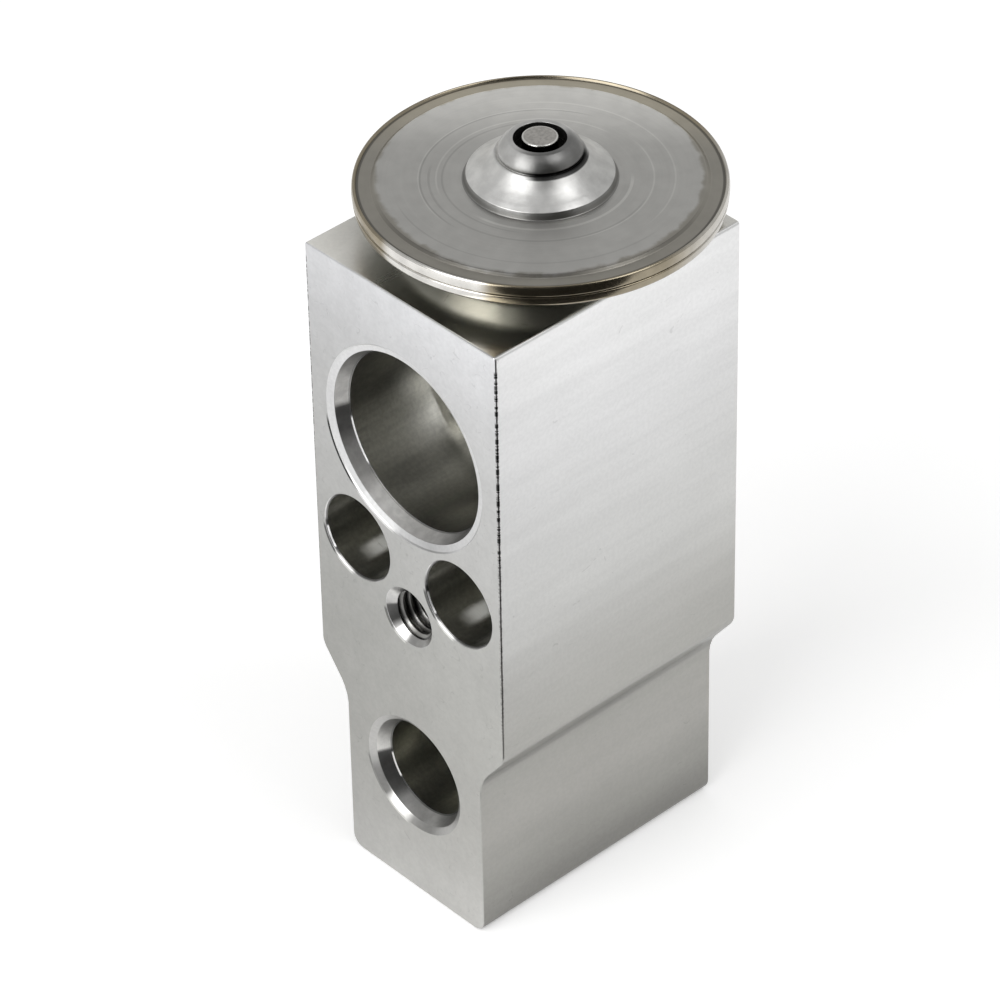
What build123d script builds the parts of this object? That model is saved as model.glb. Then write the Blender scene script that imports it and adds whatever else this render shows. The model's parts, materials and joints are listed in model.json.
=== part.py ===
from build123d import *
import math
import os

os.makedirs("parts", exist_ok=True)

# Thermostatic expansion valve of the block kind, in millimetres.
# The stem axis is Z, the block stands on Z = 0, and the hose ports face -Y.

# Block
block_width = 27.5
block_depth = 33.0
foot_width = 20.3
foot_height = 20.8
shoulder_rise = 4.7
shoulder_inner_radius = 4.5
shoulder_outer_radius = 2.0
top_corner_radius = 0.5
foot_corner_radius = 1.5
axis_from_front = 19.0

# Suction ports, at the same height on the front and the rear face
suction_above_bolts = 15.35
top_above_suction = 18.2
suction_bore_radius = 10.0
suction_seat_radius = 10.6
suction_ring_radius = 11.45
suction_ring_depth = 0.3
suction_seat_depth = 1.9
suction_front_depth = 13.0
suction_rear_depth = 9.0
suction_passage_radius = 8.6

# Liquid inlet port, low on the front face
inlet_height = 15.5
inlet_bore_radius = 5.5
inlet_seat_radius = 6.3
inlet_ring_radius = 7.0
inlet_ring_depth = 0.45
inlet_seat_depth = 1.9
inlet_bore_depth = 9.0
inlet_passage_radius = 4.2

# Outlet port to the evaporator, on the rear face just above the orifice
outlet_above_inlet = 12.0
outlet_bore_radius = 6.5
outlet_seat_radius = 7.3
outlet_ring_radius = 8.0
outlet_ring_depth = 0.45
outlet_seat_depth = 1.9
outlet_bore_depth = 7.0
outlet_passage_radius = 3.2
outlet_passage_past_axis = 1.6

# Fastening holes
bolt_spacing = 15.1
bolts_above_stud = 5.95
bolt_hole_radius = 4.75
bolt_edge_chamfer = 0.3
stud_above_outlet = 9.0
stud_hole_radius = 3.0
stud_mouth_radius = 3.45
stud_hole_depth = 12.0
drill_point_angle = 118.0

# Stem bores
screw_bore_radius = 7.0
screw_bore_depth = 9.8
screw_mouth_chamfer = 0.6
chamber_radius = 6.2
chamber_top = 21.5
seat_mouth_radius = 3.0
orifice_radius = 1.7
pocket_radius = 2.45
pocket_depth = 3.8
link_radius = 4.6

# Power head, heights above the block's top face, rims measured in from the head's radius
head_radius = 18.6
neck_radius = 8.85
neck_bore_clearance = 0.1
neck_length = 7.6
neck_bore_depth = 7.9
neck_inner_radius = 6.0
seal_counterbore_radius = 10.75
seal_counterbore_depth = 0.9
base_gap = 0.6
base_floor_thickness = 0.95
base_floor_inset = 6.0
base_wall_run = 1.0
base_wall_thickness = 1.0
rim_underside = 2.75
rim_thickness = 1.0
base_rim_inset = 0.3
base_rim_rounding = 0.42
diaphragm_thickness = 0.15
diaphragm_inset = 0.4
corrugation_inset = 1.0
corrugation_width = 1.9
corrugation_height = 0.4
cover_rim_thickness = 1.0
cover_rim_rounding = 0.4
cover_band_width = 2.1
cover_step_height = 0.35
cover_step_run = 0.3
cover_cavity_inset = 1.1
cover_cavity_height = 0.55
dome_radius = 7.6
dome_step_rise = 0.75
dome_step_draft = 0.25
dome_rise = 3.05
dome_bend_run = 0.44
dome_bend_rise = 0.49
collar_ledge = 0.25
collar_radius = 4.25
collar_wall_height = 0.45
collar_height = 1.65
collar_top_radius = 3.2
plug_well_radius = 2.65
plug_well_depth = 1.3
dome_wall = 0.9

# Plug
plug_head_radius = 1.8
plug_stand = 0.15
plug_shank_radius = 1.5
plug_shank_clearance = 0.02
plug_shank_length = 1.4
plug_head_chamfer = 0.15

# Moving stem
ball_radius = 2.5
ball_seat_gap = 0.05
pin_radius = 1.2
pin_guide_clearance = 0.06
pin_grip = 4.0
rod_radius = 2.9
rod_floor_gap = 1.0
rod_edge_chamfer = 0.4
rod_grip = 3.0
fit_clearance = 0.02
plate_side_gap = 0.4
plate_thickness = 1.1
plate_gap = 0.1
plate_edge_rounding = 0.3
hub_radius = 5.2
hub_length = 3.6
carrier_rim_gap = 1.3
carrier_head_radius = 3.3
carrier_head_height = 1.6
carrier_flange_radius = 4.6
carrier_flange_thickness = 0.8
carrier_boss_radius = 2.85
carrier_boss_length = 2.7

# Damper
damper_thickness = 0.3
damper_ring_radius = 4.8
damper_wall_gap = 0.15
damper_finger_count = 4
damper_finger_width = 2.0
damper_finger_rise = 1.1
damper_finger_length = 1.3

# Spring
spring_wire_radius = 0.6
spring_mean_radius = 3.7
spring_turns = 5.0

# Screw
screw_clearance = 0.05
screw_recess = 0.8
screw_length = 8.2
screw_pocket_clearance = 0.3
screw_pocket_depth = 1.4
screw_edge_chamfer = 0.5
hex_across_flats = 6.0
hex_depth = 3.6
screw_groove_height = 1.6
screw_groove_floor_radius = 5.65
screw_groove_below_pocket = 0.3

# Seals
rod_seal_section_radius = 0.58
screw_seal_section_radius = 0.63
head_seal_section_radius = 0.74
retainer_thickness = 0.7
retainer_hole_clearance = 0.2
retainer_slot_count = 6
retainer_slot_width = 0.4
retainer_slot_depth = 0.55

# Radii and levels that follow from the sizes above
cover_rim_radius = head_radius
cover_band_inner_radius = cover_rim_radius - cover_band_width
cover_cavity_radius = cover_band_inner_radius - cover_cavity_inset
base_rim_radius = cover_rim_radius - base_rim_inset
base_floor_radius = head_radius - base_floor_inset
diaphragm_radius = base_rim_radius - diaphragm_inset
plate_radius = base_floor_radius - plate_side_gap
corrugation_start = plate_radius + corrugation_inset
front_y = -axis_from_front
rear_y = front_y + block_depth
outlet_height = inlet_height + outlet_above_inlet
stud_height = outlet_height + stud_above_outlet
bolt_height = stud_height + bolts_above_stud
suction_height = bolt_height + suction_above_bolts
block_height = suction_height + top_above_suction
seat_top = chamber_top + (seat_mouth_radius - orifice_radius)
passage_floor = suction_height - suction_passage_radius
pocket_floor = passage_floor - pocket_depth
guide_radius = pin_radius + pin_guide_clearance
neck_bore_radius = neck_radius + neck_bore_clearance
neck_bore_floor = block_height - neck_bore_depth
ball_height = seat_top + orifice_radius - (ball_radius + ball_seat_gap) * math.sqrt(2)
rim_top = block_height + rim_underside + rim_thickness
diaphragm_top = rim_top + diaphragm_thickness
cover_rim_top = diaphragm_top + cover_rim_thickness
cover_plate_top = cover_rim_top + cover_step_height
dome_top = cover_plate_top + dome_rise
collar_top = dome_top + collar_height
plate_top = rim_top - plate_gap
plate_underside = plate_top - plate_thickness
hub_bottom = plate_underside - hub_length
rod_bottom = passage_floor + rod_floor_gap
rod_top = hub_bottom + rod_grip
carrier_top = ball_height - carrier_rim_gap
carrier_flange_top = carrier_top - carrier_head_height
spring_top = carrier_flange_top - carrier_flange_thickness
screw_radius = screw_bore_radius - screw_clearance
screw_top = screw_recess + screw_length
spring_bottom = screw_top - screw_pocket_depth


def port_profile(face, inward, height, ring, ring_depth, seat, seat_depth, bore, depth):
    """Half section of a stepped port, drawn in the YZ plane above the port's axis."""
    with BuildSketch(Plane.YZ) as profile:
        with BuildLine():
            Polyline(
                (face, height),
                (face, height + ring),
                (face + inward * ring_depth, height + seat),
                (face + inward * seat_depth, height + bore),
                (face + inward * depth, height + bore),
                (face + inward * depth, height),
                close=True,
            )
        make_face()
    return profile.sketch


def ring_section(mean_radius, height, section_radius):
    """Round section of an O-ring in the XZ plane."""
    with BuildSketch(Plane.XZ) as section:
        with Locations((mean_radius, height)):
            Circle(section_radius)
    return section.sketch


# Valve body: extruded outline, then the ports, the fastening holes and the stem's bores
with BuildPart() as valve_body:
    with BuildSketch(Plane.XZ.offset(axis_from_front)) as outline:
        with BuildLine():
            Polyline(
                (0, 0),
                (foot_width / 2, 0),
                (foot_width / 2, foot_height),
                (block_width / 2, foot_height + shoulder_rise),
                (block_width / 2, block_height),
                (0, block_height),
            )
            mirror(about=Plane.YZ)
        make_face()
        corners = outline.vertices().filter_by(lambda v: abs(v.X) > foot_width / 4)
        levels = corners.group_by(Axis.Y)
        fillet(levels[0], radius=foot_corner_radius)
        fillet(levels[1], radius=shoulder_inner_radius)
        fillet(levels[2], radius=shoulder_outer_radius)
        fillet(levels[3], radius=top_corner_radius)
    extrude(amount=-block_depth)

    suction_axis = Axis((0, 0, suction_height), (0, 1, 0))
    suction_sizes = (suction_ring_radius, suction_ring_depth, suction_seat_radius,
                     suction_seat_depth, suction_bore_radius)
    revolve(port_profile(front_y, 1, suction_height, *suction_sizes, suction_front_depth),
            axis=suction_axis, mode=Mode.SUBTRACT)
    revolve(port_profile(rear_y, -1, suction_height, *suction_sizes, suction_rear_depth),
            axis=suction_axis, mode=Mode.SUBTRACT)
    with BuildSketch(Plane.XZ.offset(axis_from_front)):
        with Locations((0, suction_height)):
            Circle(suction_passage_radius)
    extrude(amount=-block_depth, mode=Mode.SUBTRACT)

    inlet_profile = port_profile(
        front_y, 1, inlet_height, inlet_ring_radius, inlet_ring_depth, inlet_seat_radius,
        inlet_seat_depth, inlet_bore_radius, inlet_bore_depth)
    revolve(inlet_profile, axis=Axis((0, 0, inlet_height), (0, 1, 0)), mode=Mode.SUBTRACT)
    with BuildSketch(Plane.XZ.offset(axis_from_front)):
        with Locations((0, inlet_height)):
            Circle(inlet_passage_radius)
    extrude(amount=-axis_from_front, mode=Mode.SUBTRACT)

    outlet_profile = port_profile(
        rear_y, -1, outlet_height, outlet_ring_radius, outlet_ring_depth, outlet_seat_radius,
        outlet_seat_depth, outlet_bore_radius, outlet_bore_depth)
    revolve(outlet_profile, axis=Axis((0, 0, outlet_height), (0, 1, 0)), mode=Mode.SUBTRACT)
    with BuildSketch(Plane.XZ.offset(outlet_passage_past_axis)):
        with Locations((0, outlet_height)):
            Circle(outlet_passage_radius)
    extrude(amount=-(outlet_passage_past_axis + rear_y), mode=Mode.SUBTRACT)

    for bolt_x in (-bolt_spacing / 2, bolt_spacing / 2):
        with BuildSketch(Plane.YZ.offset(bolt_x)):
            with BuildLine():
                bolt_top = bolt_height + bolt_hole_radius
                Polyline(
                    (front_y, bolt_height),
                    (front_y, bolt_top + bolt_edge_chamfer),
                    (front_y + bolt_edge_chamfer, bolt_top),
                    (rear_y - bolt_edge_chamfer, bolt_top),
                    (rear_y, bolt_top + bolt_edge_chamfer),
                    (rear_y, bolt_height),
                    close=True,
                )
            make_face()
        revolve(axis=Axis((bolt_x, 0, bolt_height), (0, 1, 0)), mode=Mode.SUBTRACT)

    with BuildSketch(Plane.YZ):
        with BuildLine():
            mouth_depth = stud_mouth_radius - stud_hole_radius
            point_depth = stud_hole_radius / math.tan(math.radians(drill_point_angle / 2))
            Polyline(
                (front_y, stud_height),
                (front_y, stud_height + stud_mouth_radius),
                (front_y + mouth_depth, stud_height + stud_hole_radius),
                (front_y + stud_hole_depth, stud_height + stud_hole_radius),
                (front_y + stud_hole_depth + point_depth, stud_height),
                close=True,
            )
        make_face()
    revolve(axis=Axis((0, 0, stud_height), (0, 1, 0)), mode=Mode.SUBTRACT)

    with BuildSketch(Plane.XZ):
        with BuildLine():
            Polyline(
                (0, 0),
                (screw_bore_radius + screw_mouth_chamfer, 0),
                (screw_bore_radius, screw_mouth_chamfer),
                (screw_bore_radius, screw_bore_depth),
                (chamber_radius, screw_bore_depth),
                (chamber_radius, chamber_top),
                (seat_mouth_radius, chamber_top),
                (orifice_radius, seat_top),
                (orifice_radius, outlet_height),
                (guide_radius, outlet_height),
                (guide_radius, pocket_floor),
                (pocket_radius, pocket_floor),
                (pocket_radius, suction_height),
                (0, suction_height),
                close=True,
            )
        make_face()
    revolve(axis=Axis.Z, mode=Mode.SUBTRACT)

    with BuildSketch(Plane.XZ):
        with BuildLine():
            Polyline(
                (0, suction_height),
                (link_radius, suction_height),
                (link_radius, neck_bore_floor),
                (neck_bore_radius, neck_bore_floor),
                (neck_bore_radius, block_height - seal_counterbore_depth),
                (seal_counterbore_radius, block_height - seal_counterbore_depth),
                (seal_counterbore_radius, block_height),
                (0, block_height),
                close=True,
            )
        make_face()
    revolve(axis=Axis.Z, mode=Mode.SUBTRACT)
valve_body.part.label = "valve_body"
export_step(valve_body.part, "parts/valve_body.step")

# Head base: dished lower shell, with the neck that screws into the block
with BuildPart() as head_base:
    neck_bottom = block_height - neck_length
    base_underside = block_height + base_gap
    base_floor = base_underside + base_floor_thickness
    base_rim_bottom = block_height + rim_underside
    wall_top_radius = base_floor_radius + base_wall_run
    with BuildSketch(Plane.XZ) as base_section:
        with BuildLine():
            Polyline(
                (neck_inner_radius, neck_bottom),
                (neck_radius, neck_bottom),
                (neck_radius, base_underside),
                (base_floor_radius + base_wall_thickness / 2, base_underside),
                (wall_top_radius + base_wall_thickness, base_rim_bottom),
                (base_rim_radius, base_rim_bottom),
                (base_rim_radius, rim_top),
                (wall_top_radius, rim_top),
                (base_floor_radius, base_floor),
                (neck_inner_radius, base_floor),
                close=True,
            )
        make_face()
        rim_corners = base_section.vertices().group_by(Axis.X)[-1]
        fillet(rim_corners, radius=base_rim_rounding)
        fillet(base_section.vertices().group_by(Axis.Y)[0], radius=base_rim_rounding)
    revolve(axis=Axis.Z)
head_base.part.label = "head_base"
export_step(head_base.part, "parts/head_base.step")

# Diaphragm: thin disc with one round corrugation, clamped between the rims
with BuildPart() as diaphragm:
    corrugation_end = corrugation_start + corrugation_width
    corrugation_middle = corrugation_start + corrugation_width / 2
    with BuildSketch(Plane.XZ):
        with BuildLine():
            Line((0, rim_top), (corrugation_start, rim_top))
            ThreePointArc(
                (corrugation_start, rim_top),
                (corrugation_middle, rim_top + corrugation_height),
                (corrugation_end, rim_top),
            )
            Polyline(
                (corrugation_end, rim_top),
                (diaphragm_radius, rim_top),
                (diaphragm_radius, diaphragm_top),
                (corrugation_end, diaphragm_top),
            )
            ThreePointArc(
                (corrugation_end, diaphragm_top),
                (corrugation_middle, diaphragm_top + corrugation_height),
                (corrugation_start, diaphragm_top),
            )
            Polyline((corrugation_start, diaphragm_top), (0, diaphragm_top), (0, rim_top))
        make_face()
    revolve(axis=Axis.Z)
diaphragm.part.label = "diaphragm"
export_step(diaphragm.part, "parts/diaphragm.step")

# Head cover: stamped upper shell with a stepped top, a flared dome on a low step and a collar
with BuildPart() as head_cover:
    shank_hole_radius = plug_shank_radius + plug_shank_clearance
    well_floor = collar_top - plug_well_depth
    band_outer = cover_band_inner_radius + cover_step_run
    cavity_top = diaphragm_top + cover_cavity_height
    dome_inner_radius = dome_radius - dome_wall / 2
    dome_ceiling = well_floor - dome_wall
    dome_step_radius = dome_radius - dome_step_draft
    dome_step_top = cover_plate_top + dome_step_rise
    ledge_radius = collar_radius + collar_ledge
    dome_bend_radius = ledge_radius + (dome_step_radius - ledge_radius) * dome_bend_run
    dome_bend_top = dome_step_top + (dome_top - dome_step_top) * dome_bend_rise
    with BuildSketch(Plane.XZ) as cover_section:
        with BuildLine():
            Polyline(
                (shank_hole_radius, dome_ceiling),
                (collar_top_radius, dome_ceiling),
                (dome_inner_radius, cavity_top),
                (cover_cavity_radius, cavity_top),
                (cover_cavity_radius + cover_cavity_height, diaphragm_top),
                (cover_rim_radius, diaphragm_top),
                (cover_rim_radius, cover_rim_top),
                (band_outer, cover_rim_top),
                (cover_band_inner_radius, cover_plate_top),
                (dome_radius, cover_plate_top),
                (dome_step_radius, dome_step_top),
            )
            ThreePointArc(
                (dome_step_radius, dome_step_top),
                (dome_bend_radius, dome_bend_top),
                (ledge_radius, dome_top),
            )
            Polyline(
                (ledge_radius, dome_top),
                (collar_radius, dome_top),
                (collar_radius, dome_top + collar_wall_height),
                (collar_top_radius, collar_top),
                (plug_well_radius, collar_top),
                (plug_well_radius, well_floor),
                (shank_hole_radius, well_floor),
                (shank_hole_radius, dome_ceiling),
            )
        make_face()
        cover_corners = cover_section.vertices().group_by(Axis.X)[-1]
        fillet(cover_corners, radius=cover_rim_rounding)
    revolve(axis=Axis.Z)
head_cover.part.label = "head_cover"
export_step(head_cover.part, "parts/head_cover.step")

# Charge plug: headed pin in the collar's well
with BuildPart() as charge_plug:
    plug_top = collar_top + plug_stand
    with BuildSketch(Plane.XZ):
        with BuildLine():
            Polyline(
                (0, well_floor - plug_shank_length),
                (plug_shank_radius, well_floor - plug_shank_length),
                (plug_shank_radius, well_floor),
                (plug_head_radius, well_floor),
                (plug_head_radius, plug_top - plug_head_chamfer),
                (plug_head_radius - plug_head_chamfer, plug_top),
                (0, plug_top),
                close=True,
            )
        make_face()
    revolve(axis=Axis.Z)
charge_plug.part.label = "charge_plug"
export_step(charge_plug.part, "parts/charge_plug.step")

# Head seal: O-ring between the base's underside and the counterbore's floor
with BuildPart() as head_seal:
    seal_floor = block_height - seal_counterbore_depth
    head_seal_height = (seal_floor + block_height + base_gap) / 2
    head_seal_radius = (neck_radius + seal_counterbore_radius) / 2
    revolve(ring_section(head_seal_radius, head_seal_height, head_seal_section_radius), axis=Axis.Z)
head_seal.part.label = "head_seal"
export_step(head_seal.part, "parts/head_seal.step")

# Pressure plate: disc below the diaphragm, with a hub that holds the rod
with BuildPart() as pressure_plate:
    with BuildSketch(Plane.XZ) as plate_section:
        with BuildLine():
            Polyline(
                (0, plate_top),
                (plate_radius, plate_top),
                (plate_radius, plate_underside),
                (hub_radius, plate_underside),
                (hub_radius, hub_bottom),
                (rod_radius + fit_clearance, hub_bottom),
                (rod_radius + fit_clearance, rod_top),
                (0, rod_top),
                close=True,
            )
        make_face()
        plate_corners = plate_section.vertices().group_by(Axis.X)[-1]
        fillet(plate_corners, radius=plate_edge_rounding)
    revolve(axis=Axis.Z)
pressure_plate.part.label = "pressure_plate"
export_step(pressure_plate.part, "parts/pressure_plate.step")

# Sensing rod: aluminium rod across the suction passage, bored below for the pin
with BuildPart() as sensing_rod:
    pin_top = rod_bottom + pin_grip
    with BuildSketch(Plane.XZ):
        with BuildLine():
            Polyline(
                (pin_radius + fit_clearance, rod_bottom),
                (rod_radius - rod_edge_chamfer, rod_bottom),
                (rod_radius, rod_bottom + rod_edge_chamfer),
                (rod_radius, rod_top - rod_edge_chamfer),
                (rod_radius - rod_edge_chamfer, rod_top),
                (0, rod_top),
                (0, pin_top),
                (pin_radius + fit_clearance, pin_top),
                close=True,
            )
        make_face()
    revolve(axis=Axis.Z)
sensing_rod.part.label = "sensing_rod"
export_step(sensing_rod.part, "parts/sensing_rod.step")

# Operating pin: from the rod down to the ball
with BuildPart() as operating_pin:
    pin_bottom = ball_height + ball_radius
    with BuildSketch(Plane.XY.offset(pin_bottom)):
        Circle(pin_radius)
    extrude(amount=pin_top - pin_bottom)
operating_pin.part.label = "operating_pin"
export_step(operating_pin.part, "parts/operating_pin.step")

# Rod seal: O-ring round the pin, on the pocket's floor
with BuildPart() as rod_seal:
    rod_seal_radius = (pin_radius + pocket_radius) / 2
    revolve(ring_section(rod_seal_radius, pocket_floor + rod_seal_section_radius,
                         rod_seal_section_radius), axis=Axis.Z)
rod_seal.part.label = "rod_seal"
export_step(rod_seal.part, "parts/rod_seal.step")

# Seal retainer: slotted ring pushed into the pocket above the rod seal
with BuildPart() as seal_retainer:
    retainer_bottom = pocket_floor + 2 * rod_seal_section_radius
    retainer_hole_radius = pin_radius + retainer_hole_clearance
    slot_length = retainer_hole_radius + retainer_slot_depth
    with BuildSketch(Plane.XY.offset(retainer_bottom)):
        Circle(pocket_radius - fit_clearance)
        Circle(retainer_hole_radius, mode=Mode.SUBTRACT)
        with PolarLocations(slot_length / 2, retainer_slot_count):
            Rectangle(slot_length, retainer_slot_width, mode=Mode.SUBTRACT)
    extrude(amount=retainer_thickness)
seal_retainer.part.label = "seal_retainer"
export_step(seal_retainer.part, "parts/seal_retainer.step")

# Valve ball
with BuildPart() as valve_ball:
    with Locations((0, 0, ball_height)):
        Sphere(ball_radius)
valve_ball.part.label = "valve_ball"
export_step(valve_ball.part, "parts/valve_ball.step")

# Ball carrier: cone for the ball above, boss inside the spring below
with BuildPart() as ball_carrier:
    cone_apex = ball_height - (ball_radius + fit_clearance) * math.sqrt(2)
    boss_bottom = spring_top - carrier_boss_length
    with BuildSketch(Plane.XZ):
        with BuildLine():
            Polyline(
                (0, boss_bottom),
                (carrier_boss_radius, boss_bottom),
                (carrier_boss_radius, spring_top),
                (carrier_flange_radius, spring_top),
                (carrier_flange_radius, carrier_flange_top),
                (carrier_head_radius, carrier_flange_top),
                (carrier_head_radius, carrier_top),
                (carrier_top - cone_apex, carrier_top),
                (0, cone_apex),
                close=True,
            )
        make_face()
    revolve(axis=Axis.Z)
ball_carrier.part.label = "ball_carrier"
export_step(ball_carrier.part, "parts/ball_carrier.step")

# Damper spring: ring on the carrier's flange, with bent fingers along the chamber's wall
ring_top = carrier_flange_top + damper_thickness
bend_height = ring_top + damper_finger_rise
finger_top = bend_height + damper_finger_length
finger_outer = chamber_radius - damper_wall_gap
finger_inner = finger_outer - damper_thickness
with BuildPart() as damper_finger:
    with BuildSketch(Plane.XZ):
        with BuildLine():
            Polyline(
                (damper_ring_radius - damper_thickness, carrier_flange_top),
                (damper_ring_radius, carrier_flange_top),
                (finger_outer, bend_height),
                (finger_outer, finger_top),
                (finger_inner, finger_top),
                (finger_inner, bend_height),
                (damper_ring_radius - damper_thickness, ring_top),
                close=True,
            )
        make_face()
    extrude(amount=damper_finger_width / 2, both=True)
with BuildPart() as damper_spring:
    with BuildSketch(Plane.XY.offset(carrier_flange_top)):
        Circle(damper_ring_radius)
        Circle(carrier_head_radius + fit_clearance, mode=Mode.SUBTRACT)
    extrude(amount=damper_thickness)
    with PolarLocations(0, damper_finger_count, start_angle=180 / damper_finger_count):
        add(damper_finger.part)
damper_spring.part.label = "damper_spring"
export_step(damper_spring.part, "parts/damper_spring.step")

# Superheat spring: round wire coiled between the screw's pocket and the carrier
with BuildPart() as superheat_spring:
    coil_height = spring_top - spring_bottom - 2 * spring_wire_radius
    with BuildLine() as coil_line:
        Helix(coil_height / spring_turns, coil_height, spring_mean_radius,
              center=(0, 0, spring_bottom + spring_wire_radius))
    wire_plane = Plane(origin=coil_line.line @ 0, z_dir=coil_line.line % 0)
    with BuildSketch(wire_plane):
        Circle(spring_wire_radius)
    sweep(is_frenet=True)
superheat_spring.part.label = "superheat_spring"
export_step(superheat_spring.part, "parts/superheat_spring.step")

# Adjusting screw: hexagon socket below, seal groove round it, spring pocket above
with BuildPart() as adjusting_screw:
    pocket_bore = spring_mean_radius + spring_wire_radius + screw_pocket_clearance
    groove_top = spring_bottom - screw_groove_below_pocket
    groove_bottom = groove_top - screw_groove_height
    with BuildSketch(Plane.XZ) as screw_section:
        with BuildLine():
            Polyline(
                (0, screw_recess),
                (screw_radius - screw_edge_chamfer, screw_recess),
                (screw_radius, screw_recess + screw_edge_chamfer),
                (screw_radius, groove_bottom),
                (screw_groove_floor_radius, groove_bottom),
                (screw_groove_floor_radius, groove_top),
                (screw_radius, groove_top),
                (screw_radius, screw_top - screw_edge_chamfer),
                (screw_radius - screw_edge_chamfer, screw_top),
                (pocket_bore, screw_top),
                (pocket_bore, spring_bottom),
                (0, spring_bottom),
                close=True,
            )
        make_face()
    revolve(axis=Axis.Z)
    with BuildSketch(Plane.XY.offset(screw_recess)):
        RegularPolygon(hex_across_flats / 2, side_count=6, major_radius=False)
    extrude(amount=hex_depth, mode=Mode.SUBTRACT)
adjusting_screw.part.label = "adjusting_screw"
export_step(adjusting_screw.part, "parts/adjusting_screw.step")

# Screw seal: O-ring in the screw's groove
with BuildPart() as screw_seal:
    screw_seal_radius = (screw_groove_floor_radius + screw_bore_radius) / 2
    revolve(ring_section(screw_seal_radius, (groove_bottom + groove_top) / 2,
                         screw_seal_section_radius), axis=Axis.Z)
screw_seal.part.label = "screw_seal"
export_step(screw_seal.part, "parts/screw_seal.step")
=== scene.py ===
"""Block-type expansion valve for refrigerant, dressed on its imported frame.

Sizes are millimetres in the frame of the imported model, except where a docstring says metres: +Z
runs up the stem and -Y points out of the face with the hose ports.
"""

from __future__ import annotations

import json
import logging
import math
from dataclasses import dataclass
from enum import Enum
from functools import cached_property
from typing import Any, Sequence

import bmesh
import bpy
from mathutils import Matrix, Vector

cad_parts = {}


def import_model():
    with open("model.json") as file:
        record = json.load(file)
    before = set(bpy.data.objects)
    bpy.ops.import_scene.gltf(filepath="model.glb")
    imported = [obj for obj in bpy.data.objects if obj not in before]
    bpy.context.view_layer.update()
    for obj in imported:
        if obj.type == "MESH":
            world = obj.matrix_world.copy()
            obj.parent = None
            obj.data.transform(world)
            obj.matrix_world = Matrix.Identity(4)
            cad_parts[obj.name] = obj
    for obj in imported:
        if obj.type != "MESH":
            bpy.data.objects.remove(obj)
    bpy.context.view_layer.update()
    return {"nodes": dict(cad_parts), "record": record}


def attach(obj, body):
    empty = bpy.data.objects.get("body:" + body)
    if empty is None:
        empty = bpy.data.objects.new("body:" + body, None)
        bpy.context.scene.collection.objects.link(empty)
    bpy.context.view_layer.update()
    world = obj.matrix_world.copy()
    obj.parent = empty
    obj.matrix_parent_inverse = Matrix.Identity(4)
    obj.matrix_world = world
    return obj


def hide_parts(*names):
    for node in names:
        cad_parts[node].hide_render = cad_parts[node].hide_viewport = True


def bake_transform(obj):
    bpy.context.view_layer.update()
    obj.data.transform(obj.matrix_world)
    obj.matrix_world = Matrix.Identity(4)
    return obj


LOG = logging.getLogger("expansion_valve")
MM = 0.001
FULL_TURN = 2 * math.pi
SHARP_ANGLE = math.radians(17)
FACET_ANGLE = math.radians(14)

# Sizes of the block that its shape and its finishes share, and how far cutters reach past a face
WIDTH = 27.5
FRONT = -19.0
REAR = 14.0
HEIGHT = 76.0
PAST = 1.0

Triple = tuple[float, float, float]
Colour = Triple
Tones = Sequence[tuple[float, Colour]]
Stops = Sequence[tuple[float, float]]

# Near-black on the walls of the gap round the plug
NEAR_BLACK: Colour = (0.008, 0.008, 0.006)


class Body(str, Enum):
    """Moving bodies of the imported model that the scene's pieces follow."""

    BLOCK = "valve_block"
    STEM = "valve_stem"


class Slot(str, Enum):
    """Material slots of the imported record."""

    BLOCK = "block_aluminium"
    HEAD = "head_steel"
    PLUG = "plug_steel"
    DIAPHRAGM = "diaphragm_steel"
    PLATE = "plate_steel"
    ROD = "rod_aluminium"
    PIN = "pin_steel"
    BALL = "ball_steel"
    SPRING = "spring_steel"
    SCREW = "screw_brass"
    RUBBER = "seal_rubber"


@dataclass(frozen=True)
class Corner:
    """A corner of a section: distance across, height and the length that its rounding takes."""

    across: float
    up: float
    rounding: float = 0.0

    def turn(self, before: Corner, after: Corner) -> float:
        """Angle by which the outline turns here, between its two neighbours.

        Args:
            before: The corner before it.
            after: The corner after it.

        Returns:
            The angle in radians.
        """
        arriving = Vector((self.across - before.across, self.up - before.up))
        leaving = Vector((after.across - self.across, after.up - self.up))
        return arriving.angle(leaving)


# Shaping


def facing(direction: Vector, place: Vector) -> Matrix:
    """Turn +Z to a direction and move the origin to a place."""
    return Matrix.Translation(place) @ direction.to_track_quat("Z", "Y").to_matrix().to_4x4()


def on_axis(corners: Sequence[Corner]) -> list[Corner]:
    """Close a half section, straight in to the axis from its first and its last corner."""
    return [Corner(0.0, corners[0].up), *corners, Corner(0.0, corners[-1].up)]


def section_face(bm: bmesh.types.BMesh, corners: Sequence[Corner]) -> bmesh.types.BMFace:
    """Draw a section in the XZ plane and round its corners.

    Args:
        bm: The mesh that takes the section.
        corners: The section's corners in order.

    Returns:
        The section's face.
    """
    verts = [bm.verts.new((c.across, 0.0, c.up)) for c in corners]
    bm.faces.new(verts)
    for place, (vert, corner) in enumerate(zip(verts, corners)):
        if corner.rounding > 0:
            turn = corner.turn(corners[place - 1], corners[(place + 1) % len(corners)])
            bmesh.ops.bevel(
                bm,
                geom=[vert],
                offset=corner.rounding,
                offset_type="OFFSET",
                segments=math.ceil(turn / FACET_ANGLE),
                profile=0.5,
                affect="VERTICES",
                material=-1,
            )
    bm.faces.ensure_lookup_table()
    return bm.faces[-1]


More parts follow.
